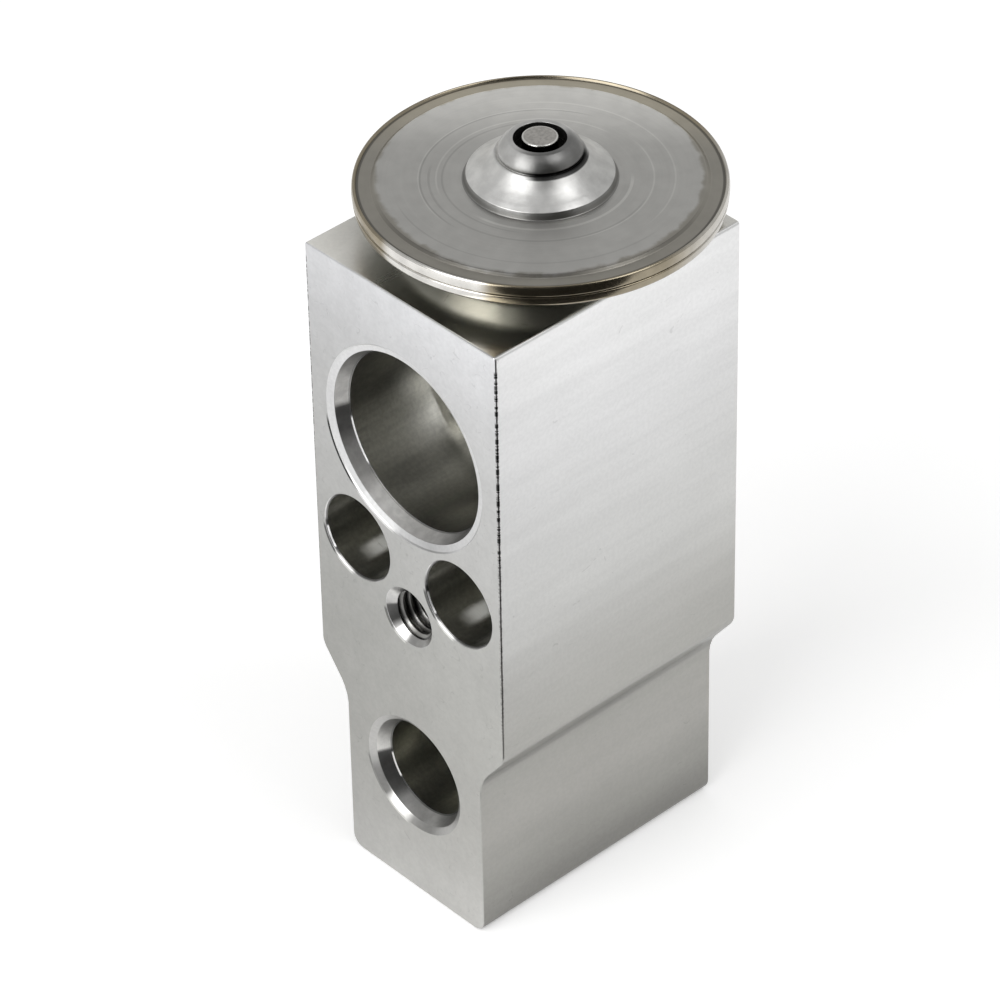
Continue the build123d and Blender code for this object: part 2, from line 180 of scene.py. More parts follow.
def turned(corners: Sequence[Corner], steps: int = 160) -> bmesh.types.BMesh:
    """Turn a half section round the Z axis.

    Args:
        corners: The half section, whose corners at radius 0 lie on the axis.
        steps: Faces round the axis.

    Returns:
        A closed solid of revolution.
    """
    bm = bmesh.new()
    face = section_face(bm, corners)
    bmesh.ops.delete(bm, geom=[face], context="FACES_ONLY")
    on_axis = [e for e in bm.edges if all(abs(v.co.x) < 1e-6 for v in e.verts)]
    bmesh.ops.delete(bm, geom=on_axis, context="EDGES")
    bmesh.ops.spin(
        bm,
        geom=bm.verts[:] + bm.edges[:],
        cent=(0, 0, 0),
        axis=(0, 0, 1),
        dvec=(0, 0, 0),
        angle=FULL_TURN,
        steps=steps,
        use_merge=True,
        use_normal_flip=False,
        use_duplicate=False,
    )
    bmesh.ops.remove_doubles(bm, verts=bm.verts[:], dist=1e-4)
    bmesh.ops.recalc_face_normals(bm, faces=bm.faces[:])
    return bm


def coiled(
    corners: Sequence[Corner], pitch: float, turns: float, steps: int = 32
) -> bmesh.types.BMesh:
    """Coil a closed section round the Z axis and close its two ends.

    Args:
        corners: The section, drawn at its distance from the axis.
        pitch: Rise in one turn.
        turns: Number of turns.
        steps: Faces in one turn.

    Returns:
        A closed helical solid.
    """
    bm = bmesh.new()
    face = section_face(bm, corners)
    bmesh.ops.delete(bm, geom=[face], context="FACES_ONLY")
    count = round(steps * turns)
    bmesh.ops.spin(
        bm,
        geom=bm.verts[:] + bm.edges[:],
        cent=(0, 0, 0),
        axis=(0, 0, 1),
        dvec=(0, 0, pitch * turns / count),
        angle=FULL_TURN * turns,
        steps=count,
        use_merge=False,
        use_normal_flip=False,
        use_duplicate=False,
    )
    rims = [e for e in bm.edges if e.is_boundary]
    bmesh.ops.holes_fill(bm, edges=rims, sides=0)
    bmesh.ops.recalc_face_normals(bm, faces=bm.faces[:])
    return bm


def as_object(name: str, bm: bmesh.types.BMesh, place: Matrix | None = None) -> bpy.types.Object:
    """Make an object at the origin from a mesh in millimetres.

    Args:
        name: Name of the object.
        bm: The mesh, which is used up.
        place: Where the mesh goes, in millimetres.

    Returns:
        The new object, linked to the scene.
    """
    if place is not None:
        bmesh.ops.transform(bm, matrix=place, verts=bm.verts[:])
    bmesh.ops.scale(bm, vec=(MM, MM, MM), verts=bm.verts[:])
    return linked(name, bm)


def linked(name: str, bm: bmesh.types.BMesh) -> bpy.types.Object:
    """Make an object from a mesh in metres, which is used up.

    Args:
        name: Name of the object.
        bm: The mesh.

    Returns:
        The new object, linked to the scene.
    """
    mesh = bpy.data.meshes.new(name)
    bm.to_mesh(mesh)
    bm.free()
    obj = bpy.data.objects.new(name, mesh)
    bpy.context.scene.collection.objects.link(obj)
    return obj


def carve(obj: bpy.types.Object, cutters: Sequence[bpy.types.Object]) -> None:
    """Cut solids out of an object for good.

    Args:
        obj: The object that is cut.
        cutters: The solids, which are removed afterwards.
    """
    for cutter in cutters:
        cut = obj.modifiers.new("cut", "BOOLEAN")
        cut.operation = "DIFFERENCE"
        cut.solver = "EXACT"
        cut.material_mode = "TRANSFER"
        cut.object = cutter
    graph = bpy.context.evaluated_depsgraph_get()
    cut_mesh = bpy.data.meshes.new_from_object(obj.evaluated_get(graph))
    obj.modifiers.clear()
    obj.data = cut_mesh
    for cutter in cutters:
        bpy.data.objects.remove(cutter)


def smooth(obj: bpy.types.Object) -> None:
    """Shade an object smooth, with its real edges kept sharp and its flats flat.

    Args:
        obj: The object.
    """
    obj.data.shade_smooth()
    obj.data.set_sharp_from_angle(angle=SHARP_ANGLE)
    flats = obj.modifiers.new("flats", "WEIGHTED_NORMAL")
    flats.keep_sharp = True
    flats.weight = 90


def dress(obj: bpy.types.Object, node: str, body: Body | None = None) -> None:
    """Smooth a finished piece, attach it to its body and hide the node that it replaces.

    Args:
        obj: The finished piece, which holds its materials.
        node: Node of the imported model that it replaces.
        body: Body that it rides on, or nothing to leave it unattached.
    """
    smooth(obj)
    if body is not None:
        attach(obj, body.value)
    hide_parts(node)
    LOG.info("%s: %d faces", obj.name, len(obj.data.polygons))


# Node trees


class Graph:
    """Adds linked nodes to one node tree."""

    def __init__(self, tree: bpy.types.NodeTree) -> None:
        """Take the tree that the nodes go into."""
        self.tree = tree

    def add(self, kind: str, inputs: dict[str | int, Any] | None = None, **settings: Any) -> Any:
        """Add one node.

        Args:
            kind: Type of the node.
            inputs: Values or sockets for its inputs, by name or place.
            settings: Properties of the node.

        Returns:
            The node.
        """
        node = self.tree.nodes.new(kind)
        for name, value in settings.items():
            setattr(node, name, value)
        for name, value in (inputs or {}).items():
            if isinstance(value, bpy.types.NodeSocket):
                self.tree.links.new(value, node.inputs[name])
            else:
                node.inputs[name].default_value = value
        return node

    def math(self, operation: str, *values: Any, clamp: bool = False) -> bpy.types.NodeSocket:
        """Add a Math node and return its output."""
        inputs = dict(enumerate(values))
        return self.add("ShaderNodeMath", inputs, operation=operation, use_clamp=clamp).outputs[0]

    def vector(self, operation: str, *values: Any) -> bpy.types.NodeSocket:
        """Add a Vector Math node and return its output, a number for a length or a dot product."""
        node = self.add("ShaderNodeVectorMath", dict(enumerate(values)), operation=operation)
        return node.outputs["Value" if operation in ("LENGTH", "DOT_PRODUCT") else "Vector"]

    def scaled(self, colour: Any, factor: Any) -> bpy.types.NodeSocket:
        """Multiply a colour or a vector by a factor and return the output."""
        inputs = {0: colour, "Scale": factor}
        return self.add("ShaderNodeVectorMath", inputs, operation="SCALE").outputs["Vector"]

    def noise(self, place: Any, scale: Any, detail: Any, roughness: float = 0.5) -> Any:
        """Add a Noise Texture at a place and return its outputs, the value first."""
        inputs = {"Vector": place, "Scale": scale, "Detail": detail, "Roughness": roughness}
        return self.add("ShaderNodeTexNoise", inputs).outputs

    def ramp(self, value: Any, start: float, end: float) -> bpy.types.NodeSocket:
        """Mask that goes smoothly from 0 at the start to 1 at the end.

        Args:
            value: The value that is looked at.
            start: Where the mask is 0.
            end: Where it is 1, above the start or below it.

        Returns:
            The mask.
        """
        low, high = (0.0, 1.0) if start < end else (1.0, 0.0)
        inputs = {
            "Value": value,
            "From Min": min(start, end),
            "From Max": max(start, end),
            "To Min": low,
            "To Max": high,
        }
        return self.add("ShaderNodeMapRange", inputs, interpolation_type="SMOOTHSTEP").outputs[0]

    def band(self, value: Any, low: float, high: float, soft: float) -> bpy.types.NodeSocket:
        """Mask that is 1 between two values and fades out over a soft width beyond them."""
        return self.both(self.ramp(value, low - soft, low), self.ramp(value, high + soft, high))

    def both(self, *masks: Any) -> bpy.types.NodeSocket:
        """Mask that is 1 where all the given masks are 1.

        Args:
            masks: The masks.

        Returns:
            Their product.
        """
        product = masks[0]
        for mask in masks[1:]:
            product = self.math("MULTIPLY", product, mask)
        return product

    def mix(self, share: Any, first: Any, second: Any) -> bpy.types.NodeSocket:
        """Mix two colours.

        Args:
            share: Share of the second colour.
            first: A plain colour or a socket.
            second: The other one.

        Returns:
            The mixed colour.
        """
        pair = [c if isinstance(c, bpy.types.NodeSocket) else (*c, 1) for c in (first, second)]
        # Places 6 and 7 are the two colours, because their names are shared with the numbers
        node = self.add("ShaderNodeMix", {0: share, 6: pair[0], 7: pair[1]}, data_type="RGBA")
        return node.outputs[2]

    def shade(self, colour: Any, mask: Any, factor: float) -> bpy.types.NodeSocket:
        """Darken or lighten a colour by a factor where a mask is 1."""
        return self.scaled(colour, self.math("MULTIPLY_ADD", mask, factor - 1.0, 1.0))

    def gradient(self, value: Any, tones: Tones, form: str = "B_SPLINE") -> bpy.types.NodeSocket:
        """Colour a value from 0 to 1 by tones, the first at 0 and the last at 1.

        Args:
            value: The value.
            tones: Places from 0 to 1 with their colours.
            form: Interpolation between them.

        Returns:
            The colour.
        """
        node = self.add("ShaderNodeValToRGB", {0: value})
        node.color_ramp.interpolation = form
        elements = node.color_ramp.elements
        for place, colour in tones[1:-1]:
            elements.new(place).color = (*colour, 1)
        elements[0].color, elements[-1].color = (*tones[0][1], 1), (*tones[-1][1], 1)
        return node.outputs[0]

    def curve(self, value: Any, stops: Stops) -> bpy.types.NodeSocket:
        """Turn a value from 0 to 1 into a factor by stops, the first at 0 and the last at 1."""
        return self.gradient(value, [(place, (f, f, f)) for place, f in stops], "LINEAR")


class Group(Graph):
    """A shader node group in the making, which takes a position and gives out numbers."""

    def __init__(self, name: str, inputs: dict[str, Any], outputs: Sequence[str]) -> None:
        """Start the group with its named sockets.

        Args:
            name: Name of the group.
            inputs: Each further input with its default, a float or a vector.
            outputs: Names of the outputs.
        """
        super().__init__(bpy.data.node_groups.new(name, "ShaderNodeTree"))
        sockets = self.tree.interface
        for label, value in {"Position": (0.0, 0.0, 0.0), **inputs}.items():
            kind = "NodeSocketFloat" if isinstance(value, float) else "NodeSocketVector"
            socket = sockets.new_socket(name=label, in_out="INPUT", socket_type=kind)
            socket.default_value = value
        for label in outputs:
            sockets.new_socket(name=label, in_out="OUTPUT", socket_type="NodeSocketFloat")
        self.given = self.add("NodeGroupInput").outputs
        self.out = self.add("NodeGroupOutput").inputs

    def give(self, label: str, value: bpy.types.NodeSocket) -> None:
        """Link a value to one of the group's outputs."""
        self.tree.links.new(value, self.out[label])


# Effects shared by the finishes


@dataclass(frozen=True)
class Effects:
    """The node groups that several finishes share."""

    drawn_lines: bpy.types.NodeTree
    scratches: bpy.types.NodeTree
    clouding: bpy.types.NodeTree
    rings: bpy.types.NodeTree

    @classmethod
    def build(cls) -> Effects:
        """Build every group once and return them."""
        return cls(cls._drawn_lines(), cls._scratches(), cls._clouding(), cls._rings())

    @staticmethod
    def _drawn_lines() -> bpy.types.NodeTree:
        """Fine parallel lines, as drawing or milling leaves them.

        Returns:
            The group.
        """
        g = Group("drawn_lines", {"Stretch": (1.0, 1.0, 1.0), "Wander": 0.0}, ["Lines"])
        place = g.given["Position"]
        drift = g.noise(place, 0.15, 1.0)["Color"]
        moved = g.vector("ADD", place, g.scaled(drift, g.given["Wander"]))
        pulled = g.vector("MULTIPLY", moved, g.given["Stretch"])
        g.give("Lines", g.noise(pulled, 1.0, 3.0, 0.7)[0])
        return g.tree

    @staticmethod
    def _scratches() -> bpy.types.NodeTree:
        """Thin stray scratches in short runs.

        Returns:
            The group.
        """
        g = Group("scratches", {"Scale": 0.3, "Width": 0.01, "Cover": 0.5}, ["Mask"])
        place = g.given["Position"]
        path = g.noise(place, g.given["Scale"], 1.0)[0]
        away = g.math("ABSOLUTE", g.math("SUBTRACT", path, 0.5))
        line = g.math("SUBTRACT", 1.0, g.math("DIVIDE", away, g.given["Width"]), clamp=True)
        run = g.math("GREATER_THAN", g.noise(place, 0.9, 2.0)[0], g.given["Cover"])
        g.give("Mask", g.both(line, run))
        return g.tree

    @staticmethod
    def _clouding() -> bpy.types.NodeTree:
        """Soft patches from handling and washing.

        Returns:
            The group.
        """
        g = Group("clouding", {"Scale": 0.1, "Detail": 3.0}, ["Patches"])
        cloud = g.noise(g.given["Position"], g.given["Scale"], g.given["Detail"])[0]
        g.give("Patches", g.ramp(cloud, 0.3, 0.7))
        return g.tree

    @staticmethod
    def _rings() -> bpy.types.NodeTree:
        """Concentric lines round the Z axis of the position, as turning leaves them.

        Returns:
            The group.
        """
        g = Group("rings", {"Density": 6.0, "Break": 0.3}, ["Lines", "Radius"])
        flat = g.vector("MULTIPLY", g.given["Position"], (1.0, 1.0, 0.0))
        radius = g.vector("LENGTH", flat)
        turn = g.scaled(g.vector("NORMALIZE", flat), g.given["Break"])
        rise = g.add("ShaderNodeCombineXYZ", {"Z": g.both(radius, g.given["Density"])}).outputs[0]
        g.give("Lines", g.noise(g.vector("ADD", turn, rise), 1.0, 3.0, 0.65)[0])
        g.give("Radius", radius)
        return g.tree


# Finishes


class Surface(Graph):
    """A material in the making: its Principled shader and the position in millimetres."""

    def __init__(self, name: str, metallic: float = 1.0, roughness: float = 0.3) -> None:
        """Start the material.

        Args:
            name: Name of the material.
            metallic: Metallic value, until something is linked to it.
            roughness: Roughness, until something is linked to it.
        """
        self.material = bpy.data.materials.new(name)
        self.material.use_nodes = True
        super().__init__(self.material.node_tree)
        self.shader = self.tree.nodes["Principled BSDF"]
        self.shader.inputs["Metallic"].default_value = metallic
        self.shader.inputs["Roughness"].default_value = roughness
        self.position = self.scaled(self.add("ShaderNodeTexCoord").outputs["Object"], 1 / MM)
        self.axes = self.add("ShaderNodeSeparateXYZ", {0: self.position}).outputs

    def effect(self, tree: bpy.types.NodeTree, **inputs: Any) -> Any:
        """Place a node group at the material's position and return its outputs."""
        inputs = {"Position": self.position, **inputs}
        return self.add("ShaderNodeGroup", inputs, node_tree=tree).outputs

    def feed(self, socket: str, value: Any) -> None:
        """Link a value or a colour to one of the shader's inputs."""
        self.tree.links.new(value, self.shader.inputs[socket])

    def bump(self, height: Any, depth: float) -> None:
        """Link a height to the shader's normal, where 1 stands up by the depth in millimetres."""
        inputs = {"Height": height, "Distance": depth * MM, "Strength": 1.0}
        self.feed("Normal", self.add("ShaderNodeBump", inputs).outputs[0])

    def outward(self, plane: Triple, centre: Triple = (0.0, 0.0, 0.0)) -> bpy.types.NodeSocket:
        """Vector from a centre to the place, kept to the plane whose axes are given as 1."""
        return self.vector("MULTIPLY", self.vector("SUBTRACT", self.position, centre), plane)

    @cached_property
    def from_stem(self) -> bpy.types.NodeSocket:
        """Direction from the stem's axis to the place."""
        return self.vector("NORMALIZE", self.outward((1.0, 1.0, 0.0)))

    def toward(self, across: float, along: float) -> bpy.types.NodeSocket:
        """How far a place lies round the stem toward one direction, 1 straight toward it."""
        return self.vector("DOT_PRODUCT", self.from_stem, (across, along, 0.0))


@dataclass(frozen=True)
class Mouth:
    """Edge of a port or hole in the front face, and the painted shade where it rolls over."""

    across: float
    height: float
    radius: float
    shade: float


@dataclass(frozen=True)
class MilledAluminium:
    """Satin block faces: drawn sides with lines along the depth, milled front and rear.

    A tone's place is its share of the height, and fields named way are directions. A shade is a
    factor that darkens below 1 and brightens above it. The tones by height, the left, shoulder,
    under-head and near-corner shades, the crescents and glints at the mouths and the dark line
    down the front edges are painted light and shade; that line is a burr in part.
    """

    # Painted light and shade by height on the front: darkest low down above the foot, lightest at
    # the top
    front_painted_light: Tones = (
        (0.0, (0.68, 0.675, 0.655)),
        (0.1, (0.6, 0.595, 0.57)),
        (0.2, (0.53, 0.525, 0.5)),
        (0.45, (0.53, 0.53, 0.505)),
        (0.6, (0.6, 0.598, 0.585)),
        (0.72, (0.65, 0.65, 0.64)),
        (0.87, (0.67, 0.67, 0.67)),
        (1.0, (0.92, 0.925, 0.945)),
    )
    # Painted light and shade by height on the sides: darkest at the foot, lightest at the top
    side_painted_light: Tones = (
        (0.0, (0.27, 0.265, 0.25)),
        (0.08, (0.42, 0.415, 0.39)),
        (0.18, (0.5, 0.49, 0.465)),
        (0.25, (0.43, 0.425, 0.4)),
        (0.36, (0.49, 0.485, 0.46)),
        (0.45, (0.53, 0.525, 0.505)),
        (0.54, (0.68, 0.68, 0.665)),
        (0.7, (0.76, 0.76, 0.755)),
        (0.85, (0.85, 0.85, 0.855)),
        (1.0, (1.0, 1.0, 1.0)),
    )
    # The last column is the factor of each mouth's painted shade crescent
    mouths: tuple[Mouth, ...] = (
        Mouth(0.0, 57.8, 11.4, 0.04),
        Mouth(-7.55, 42.45, 4.95, 0.25),
        Mouth(7.55, 42.45, 4.95, 0.25),
        Mouth(0.0, 36.5, 3.5, 0.4),
        Mouth(0.0, 15.5, 6.95, 0.6),
    )
    mouth_line: float = 0.32
    # Directions round each mouth of its painted shade crescent and its painted glint
    rolled_shade_way: Triple = (-0.875, 0.0, -0.485)
    glint_way: Triple = (-0.407, 0.0, -0.914)
    glint_shade: float = 1.6
    # Painted shade: the block darker toward its left
    left_shade: float = 0.86
    shoulder: float = 21.0
    # Painted shade along the shoulder's fillet
    shoulder_shade: float = 0.78
    # Painted shade on the top round the head
    under_head_shade: float = 0.85
    top_tint: Colour = (1.0, 0.985, 0.93)
    matt_way: Triple = (-0.8, -0.3, 0.0)
    matt_shade: float = 0.93
    matt_metal: float = 0.15
    # Painted shade on the top's near right corner
    near_corner_shade: float = 0.6
    sweep_centre: tuple[float, float] = (70.0, 20.0)
    # Broken dark line down the front edges: a burr in part, painted shade in part
    burr_and_shade_width: float = 0.2
    burr_and_shade_top: float = 74.0
    burr_and_shade_factor: float = 0.1
    roughness: float = 0.3
    polish: float = 0.12
    relief: float = 0.006

    def build(self, effects: Effects) -> bpy.types.Material:
        """Build the material.

        Args:
            effects: The shared node groups.

        Returns:
            The block's outer finish.
        """
        s = Surface("milled_aluminium", roughness=self.roughness)
        sides = s.ramp(s.axes["Y"], FRONT + 0.05, FRONT + 0.2)
        top = s.ramp(s.axes["Z"], HEIGHT - 0.1, HEIGHT)
        matt = s.both(top, s.ramp(s.vector("DOT_PRODUCT", s.position, self.matt_way), 9.5, 14.0))
        colour = self._painted_tones(s, sides, top)
        lines, grain = self._tool_lines(s, effects, sides)
        colour = s.shade(colour, s.effect(effects.clouding, Scale=0.06)["Patches"], 0.95)
        colour = s.shade(colour, lines, 0.95)
        specks = s.effect(effects.clouding, Scale=2.4, Detail=1.0)["Patches"]
        colour = s.shade(colour, specks, 0.955)
        colour = s.mix(top, colour, s.vector("MULTIPLY", colour, self.top_tint))
        colour = s.shade(colour, matt, self.matt_shade)
        # Painted shade on the top's near right corner
        corner = s.both(top, s.ramp(s.axes["X"], 9.5, 12.5), s.ramp(s.axes["Y"], -16.0, -18.0))
        colour = s.shade(colour, corner, self.near_corner_shade)
        # Painted shade crescents and painted glints round the mouths
        colour = self._mouth_painted_light(s, colour)
        # Broken dark line down the front edges: a burr in part, painted shade in part
        colour = s.shade(colour, self._burr_and_edge_shade(s, effects), self.burr_and_shade_factor)
        marks = s.effect(effects.scratches, Scale=0.12, Width=0.004, Cover=0.62)["Mask"]
        short = s.effect(effects.scratches, Scale=0.45, Width=0.012, Cover=0.56)["Mask"]
        colour = s.shade(colour, s.both(short, s.ramp(sides, 1.0, 0.0)), 0.86)
        s.feed("Base Color", s.shade(colour, marks, 0.85))
        s.feed("Metallic", s.math("MULTIPLY_ADD", matt, self.matt_metal - 1.0, 1.0))
        polished = s.both(top, s.ramp(s.axes["X"], -6.0, 2.0))
        base = s.math("MULTIPLY_ADD", polished, -self.polish, self.roughness - 0.05)
        s.feed("Roughness", s.math("MULTIPLY_ADD", grain, 0.1, base))
        s.bump(s.math("SUBTRACT", grain, marks), self.relief)
        return s.material

    def _painted_tones(self, s: Surface, sides: Any, top: Any) -> Any:
        """Painted light and shade: colour by height, darker to the left, at the shoulder and on the
        top round the head.

        Args:
            s: The material in the making.
            sides: Mask of everything behind the front face.
            top: Mask of the top face.

        Returns:
            The colour.
        """
        x, z = s.axes["X"], s.axes["Z"]
        rise = s.math("DIVIDE", z, HEIGHT)
        colour = s.mix(sides, s.gradient(rise, self.front_painted_light), s.gradient(rise, self.side_painted_light))
        # Painted shade toward the left
        colour = s.shade(colour, s.ramp(x, WIDTH / 2, -WIDTH / 2), self.left_shade)
        shoulder = s.band(z, self.shoulder - 0.3, self.shoulder + 0.4, 0.7)
        # Painted shade along the shoulder's fillet
        colour = s.shade(colour, s.both(sides, shoulder), self.shoulder_shade)
        reach = s.vector("LENGTH", s.outward((1.0, 1.0, 0.0)))
        # Painted shade on the top round the head
        return s.shade(colour, s.both(top, s.ramp(reach, 21.0, 16.0)), self.under_head_shade)

    def _mouth_painted_light(self, s: Surface, colour: Any) -> Any:
        """Paint shade in a crescent at each mouth, where its edge rolls over, and paint a glint
        beside it.

        Args:
            s: The material in the making.
            colour: Colour of the face.

        Returns:
            The colour with the marks.
        """
        front = s.ramp(s.axes["Y"], FRONT + 0.1, FRONT + 0.05)
        for mouth in self.mouths:
            out = s.outward((1.0, 0.0, 1.0), (mouth.across, 0.0, mouth.height))
            reach, way = s.vector("LENGTH", out), s.vector("NORMALIZE", out)
            line = s.both(front, s.band(reach, mouth.radius, mouth.radius + self.mouth_line, 0.08))
            rolled_shade = s.ramp(s.vector("DOT_PRODUCT", way, self.rolled_shade_way), 0.93, 0.97)
            glint = s.ramp(s.vector("DOT_PRODUCT", way, self.glint_way), 0.96, 0.985)
            colour = s.shade(colour, s.both(line, rolled_shade), mouth.shade)
            colour = s.shade(colour, s.both(line, glint), self.glint_shade)
        return colour

    def _tool_lines(self, s: Surface, effects: Effects, sides: Any) -> tuple[Any, Any]:
        """Draw tool marks, along the depth on the sides and in arcs on the milled faces.

        Args:
            s: The material in the making.
            effects: The shared node groups.
            sides: Mask of everything behind the front face.

        Returns:
            The wide lines and the fine ones.
        """
        wide = s.effect(effects.drawn_lines, Stretch=(0.35, 0.02, 0.35), Wander=0.5)["Lines"]
        drawn = s.effect(effects.drawn_lines, Stretch=(8.0, 0.2, 8.0), Wander=0.4)["Lines"]
        across, up = self.sweep_centre
        centred = {"X": s.math("SUBTRACT", s.axes["X"], across)}
        centred["Y"] = s.math("SUBTRACT", s.axes["Z"], up)
        swept = s.add("ShaderNodeCombineXYZ", centred).outputs[0]
        arcs = s.effect(effects.rings, Position=swept, Density=7.0, Break=3.0)["Lines"]
        fine = s.add("ShaderNodeMix", {"Factor": sides, "A": arcs, "B": drawn}).outputs["Result"]
        return s.ramp(wide, 0.35, 0.65), fine

    def _burr_and_edge_shade(self, s: Surface, effects: Effects) -> Any:
        """Mask of the broken dark line down the front's upright edges, a burr in part and painted
        shade of the edge in part.

        Args:
            s: The material in the making.
            effects: The shared node groups.

        Returns:
            The mask.
        """
        z, width, start = s.axes["Z"], self.burr_and_shade_width, self.burr_and_shade_width + 0.08
        edge = s.ramp(s.math("ABSOLUTE", s.axes["X"]), WIDTH / 2 - start, WIDTH / 2 - width)
        edge = s.both(edge, s.ramp(s.axes["Y"], FRONT + start, FRONT + width))
        dashes = s.effect(effects.drawn_lines, Stretch=(0.0, 0.0, 1.1))["Lines"]
        specks = s.effect(effects.drawn_lines, Stretch=(3.0, 3.0, 3.0))["Lines"]
        strong = s.both(s.ramp(dashes, 0.48, 0.52), s.ramp(z, 46.0, 56.0))
        faint = s.both(s.ramp(specks, 0.45, 0.6), s.ramp(z, 26.0, 32.0))
        broken = s.math("MULTIPLY_ADD", faint, 0.45, strong, clamp=True)
        return s.both(edge, s.ramp(z, self.burr_and_shade_top + 0.6, self.burr_and_shade_top), broken)


# Painted light and shade, glints among it, on the walls of the bores: factors by the turn round
# the axis, from +X over +Z

PLAIN: Stops = ((0.0, 0.8), (1.0, 0.8))
PAINTED_GLINTS: Stops = (
    (0.0, 0.55), (0.36, 0.6), (0.41, 0.9), (0.5, 0.9), (0.515, 0.2), (0.6, 0.1),
    (0.64, 0.3), (0.655, 1.0), (0.715, 1.0), (0.735, 0.5), (1.0, 0.55),
)  # fmt: skip
SUCTION_WALL_LIGHT: Stops = (
    (0.0, 0.45), (0.515, 0.5), (0.55, 1.0), (0.6, 0.98), (0.62, 0.88),
    (0.65, 0.8), (0.69, 1.0), (0.74, 0.5), (0.76, 0.36), (1.0, 0.42),
)  # fmt: skip
SUCTION_SEAT_LIGHT: Stops = (
    (0.0, 0.4), (0.375, 0.3), (0.417, 0.5), (0.458, 1.0), (0.502, 1.0), (0.512, 0.1),
    (0.55, 0.12), (0.585, 0.35), (0.63, 0.45), (0.66, 0.75), (0.71, 0.75), (0.75, 0.6),
    (0.8, 0.6), (0.875, 0.2), (1.0, 0.4),
)  # fmt: skip
SUCTION_RING_LIGHT: Stops = (
    (0.0, 0.82), (0.3, 0.88), (0.4, 0.86), (0.5, 0.76), (0.6, 0.84), (0.645, 0.84),
    (0.655, 1.0), (0.72, 1.0), (0.735, 0.7), (0.8, 0.52), (0.87, 0.68), (1.0, 0.82),
)  # fmt: skip
PORT_WALL_LIGHT: Stops = (
    (0.0, 0.5), (0.46, 0.2), (0.53, 0.7), (0.545, 1.0), (0.566, 1.0), (0.585, 0.65),
    (0.61, 0.65), (0.65, 0.95), (0.7, 0.65), (0.73, 0.55), (1.0, 0.55),
)  # fmt: skip
PORT_SEAT_LIGHT: Stops = (
    (0.0, 0.4), (0.375, 0.3), (0.417, 0.45), (0.46, 0.7), (0.515, 0.95), (0.525, 0.1),
    (0.6, 0.1), (0.65, 0.1), (0.69, 0.18), (0.73, 0.3), (0.8, 0.4), (0.875, 0.2), (1.0, 0.4),
)  # fmt: skip
PORT_RING_LIGHT: Stops = (
    (0.0, 0.6), (0.5, 0.6), (0.53, 0.55), (0.57, 0.28), (0.635, 0.26), (0.655, 1.0),
    (0.715, 1.0), (0.735, 0.5), (0.8, 0.38), (0.87, 0.52), (1.0, 0.6),
)  # fmt: skip
BOLT_WALL_LIGHT: Stops = (
    (0.0, 0.6), (0.5, 0.65), (0.55, 1.0), (0.57, 0.7), (0.63, 0.95), (0.74, 1.0),
    (0.8, 0.35), (1.0, 0.5),
)  # fmt: skip
STUD_WALL_LIGHT: Stops = (
    (0.0, 0.3), (0.5, 0.25), (0.62, 0.2), (0.645, 0.5), (0.66, 1.0), (0.71, 1.0),
    (0.74, 0.5), (1.0, 0.3),
)  # fmt: skip


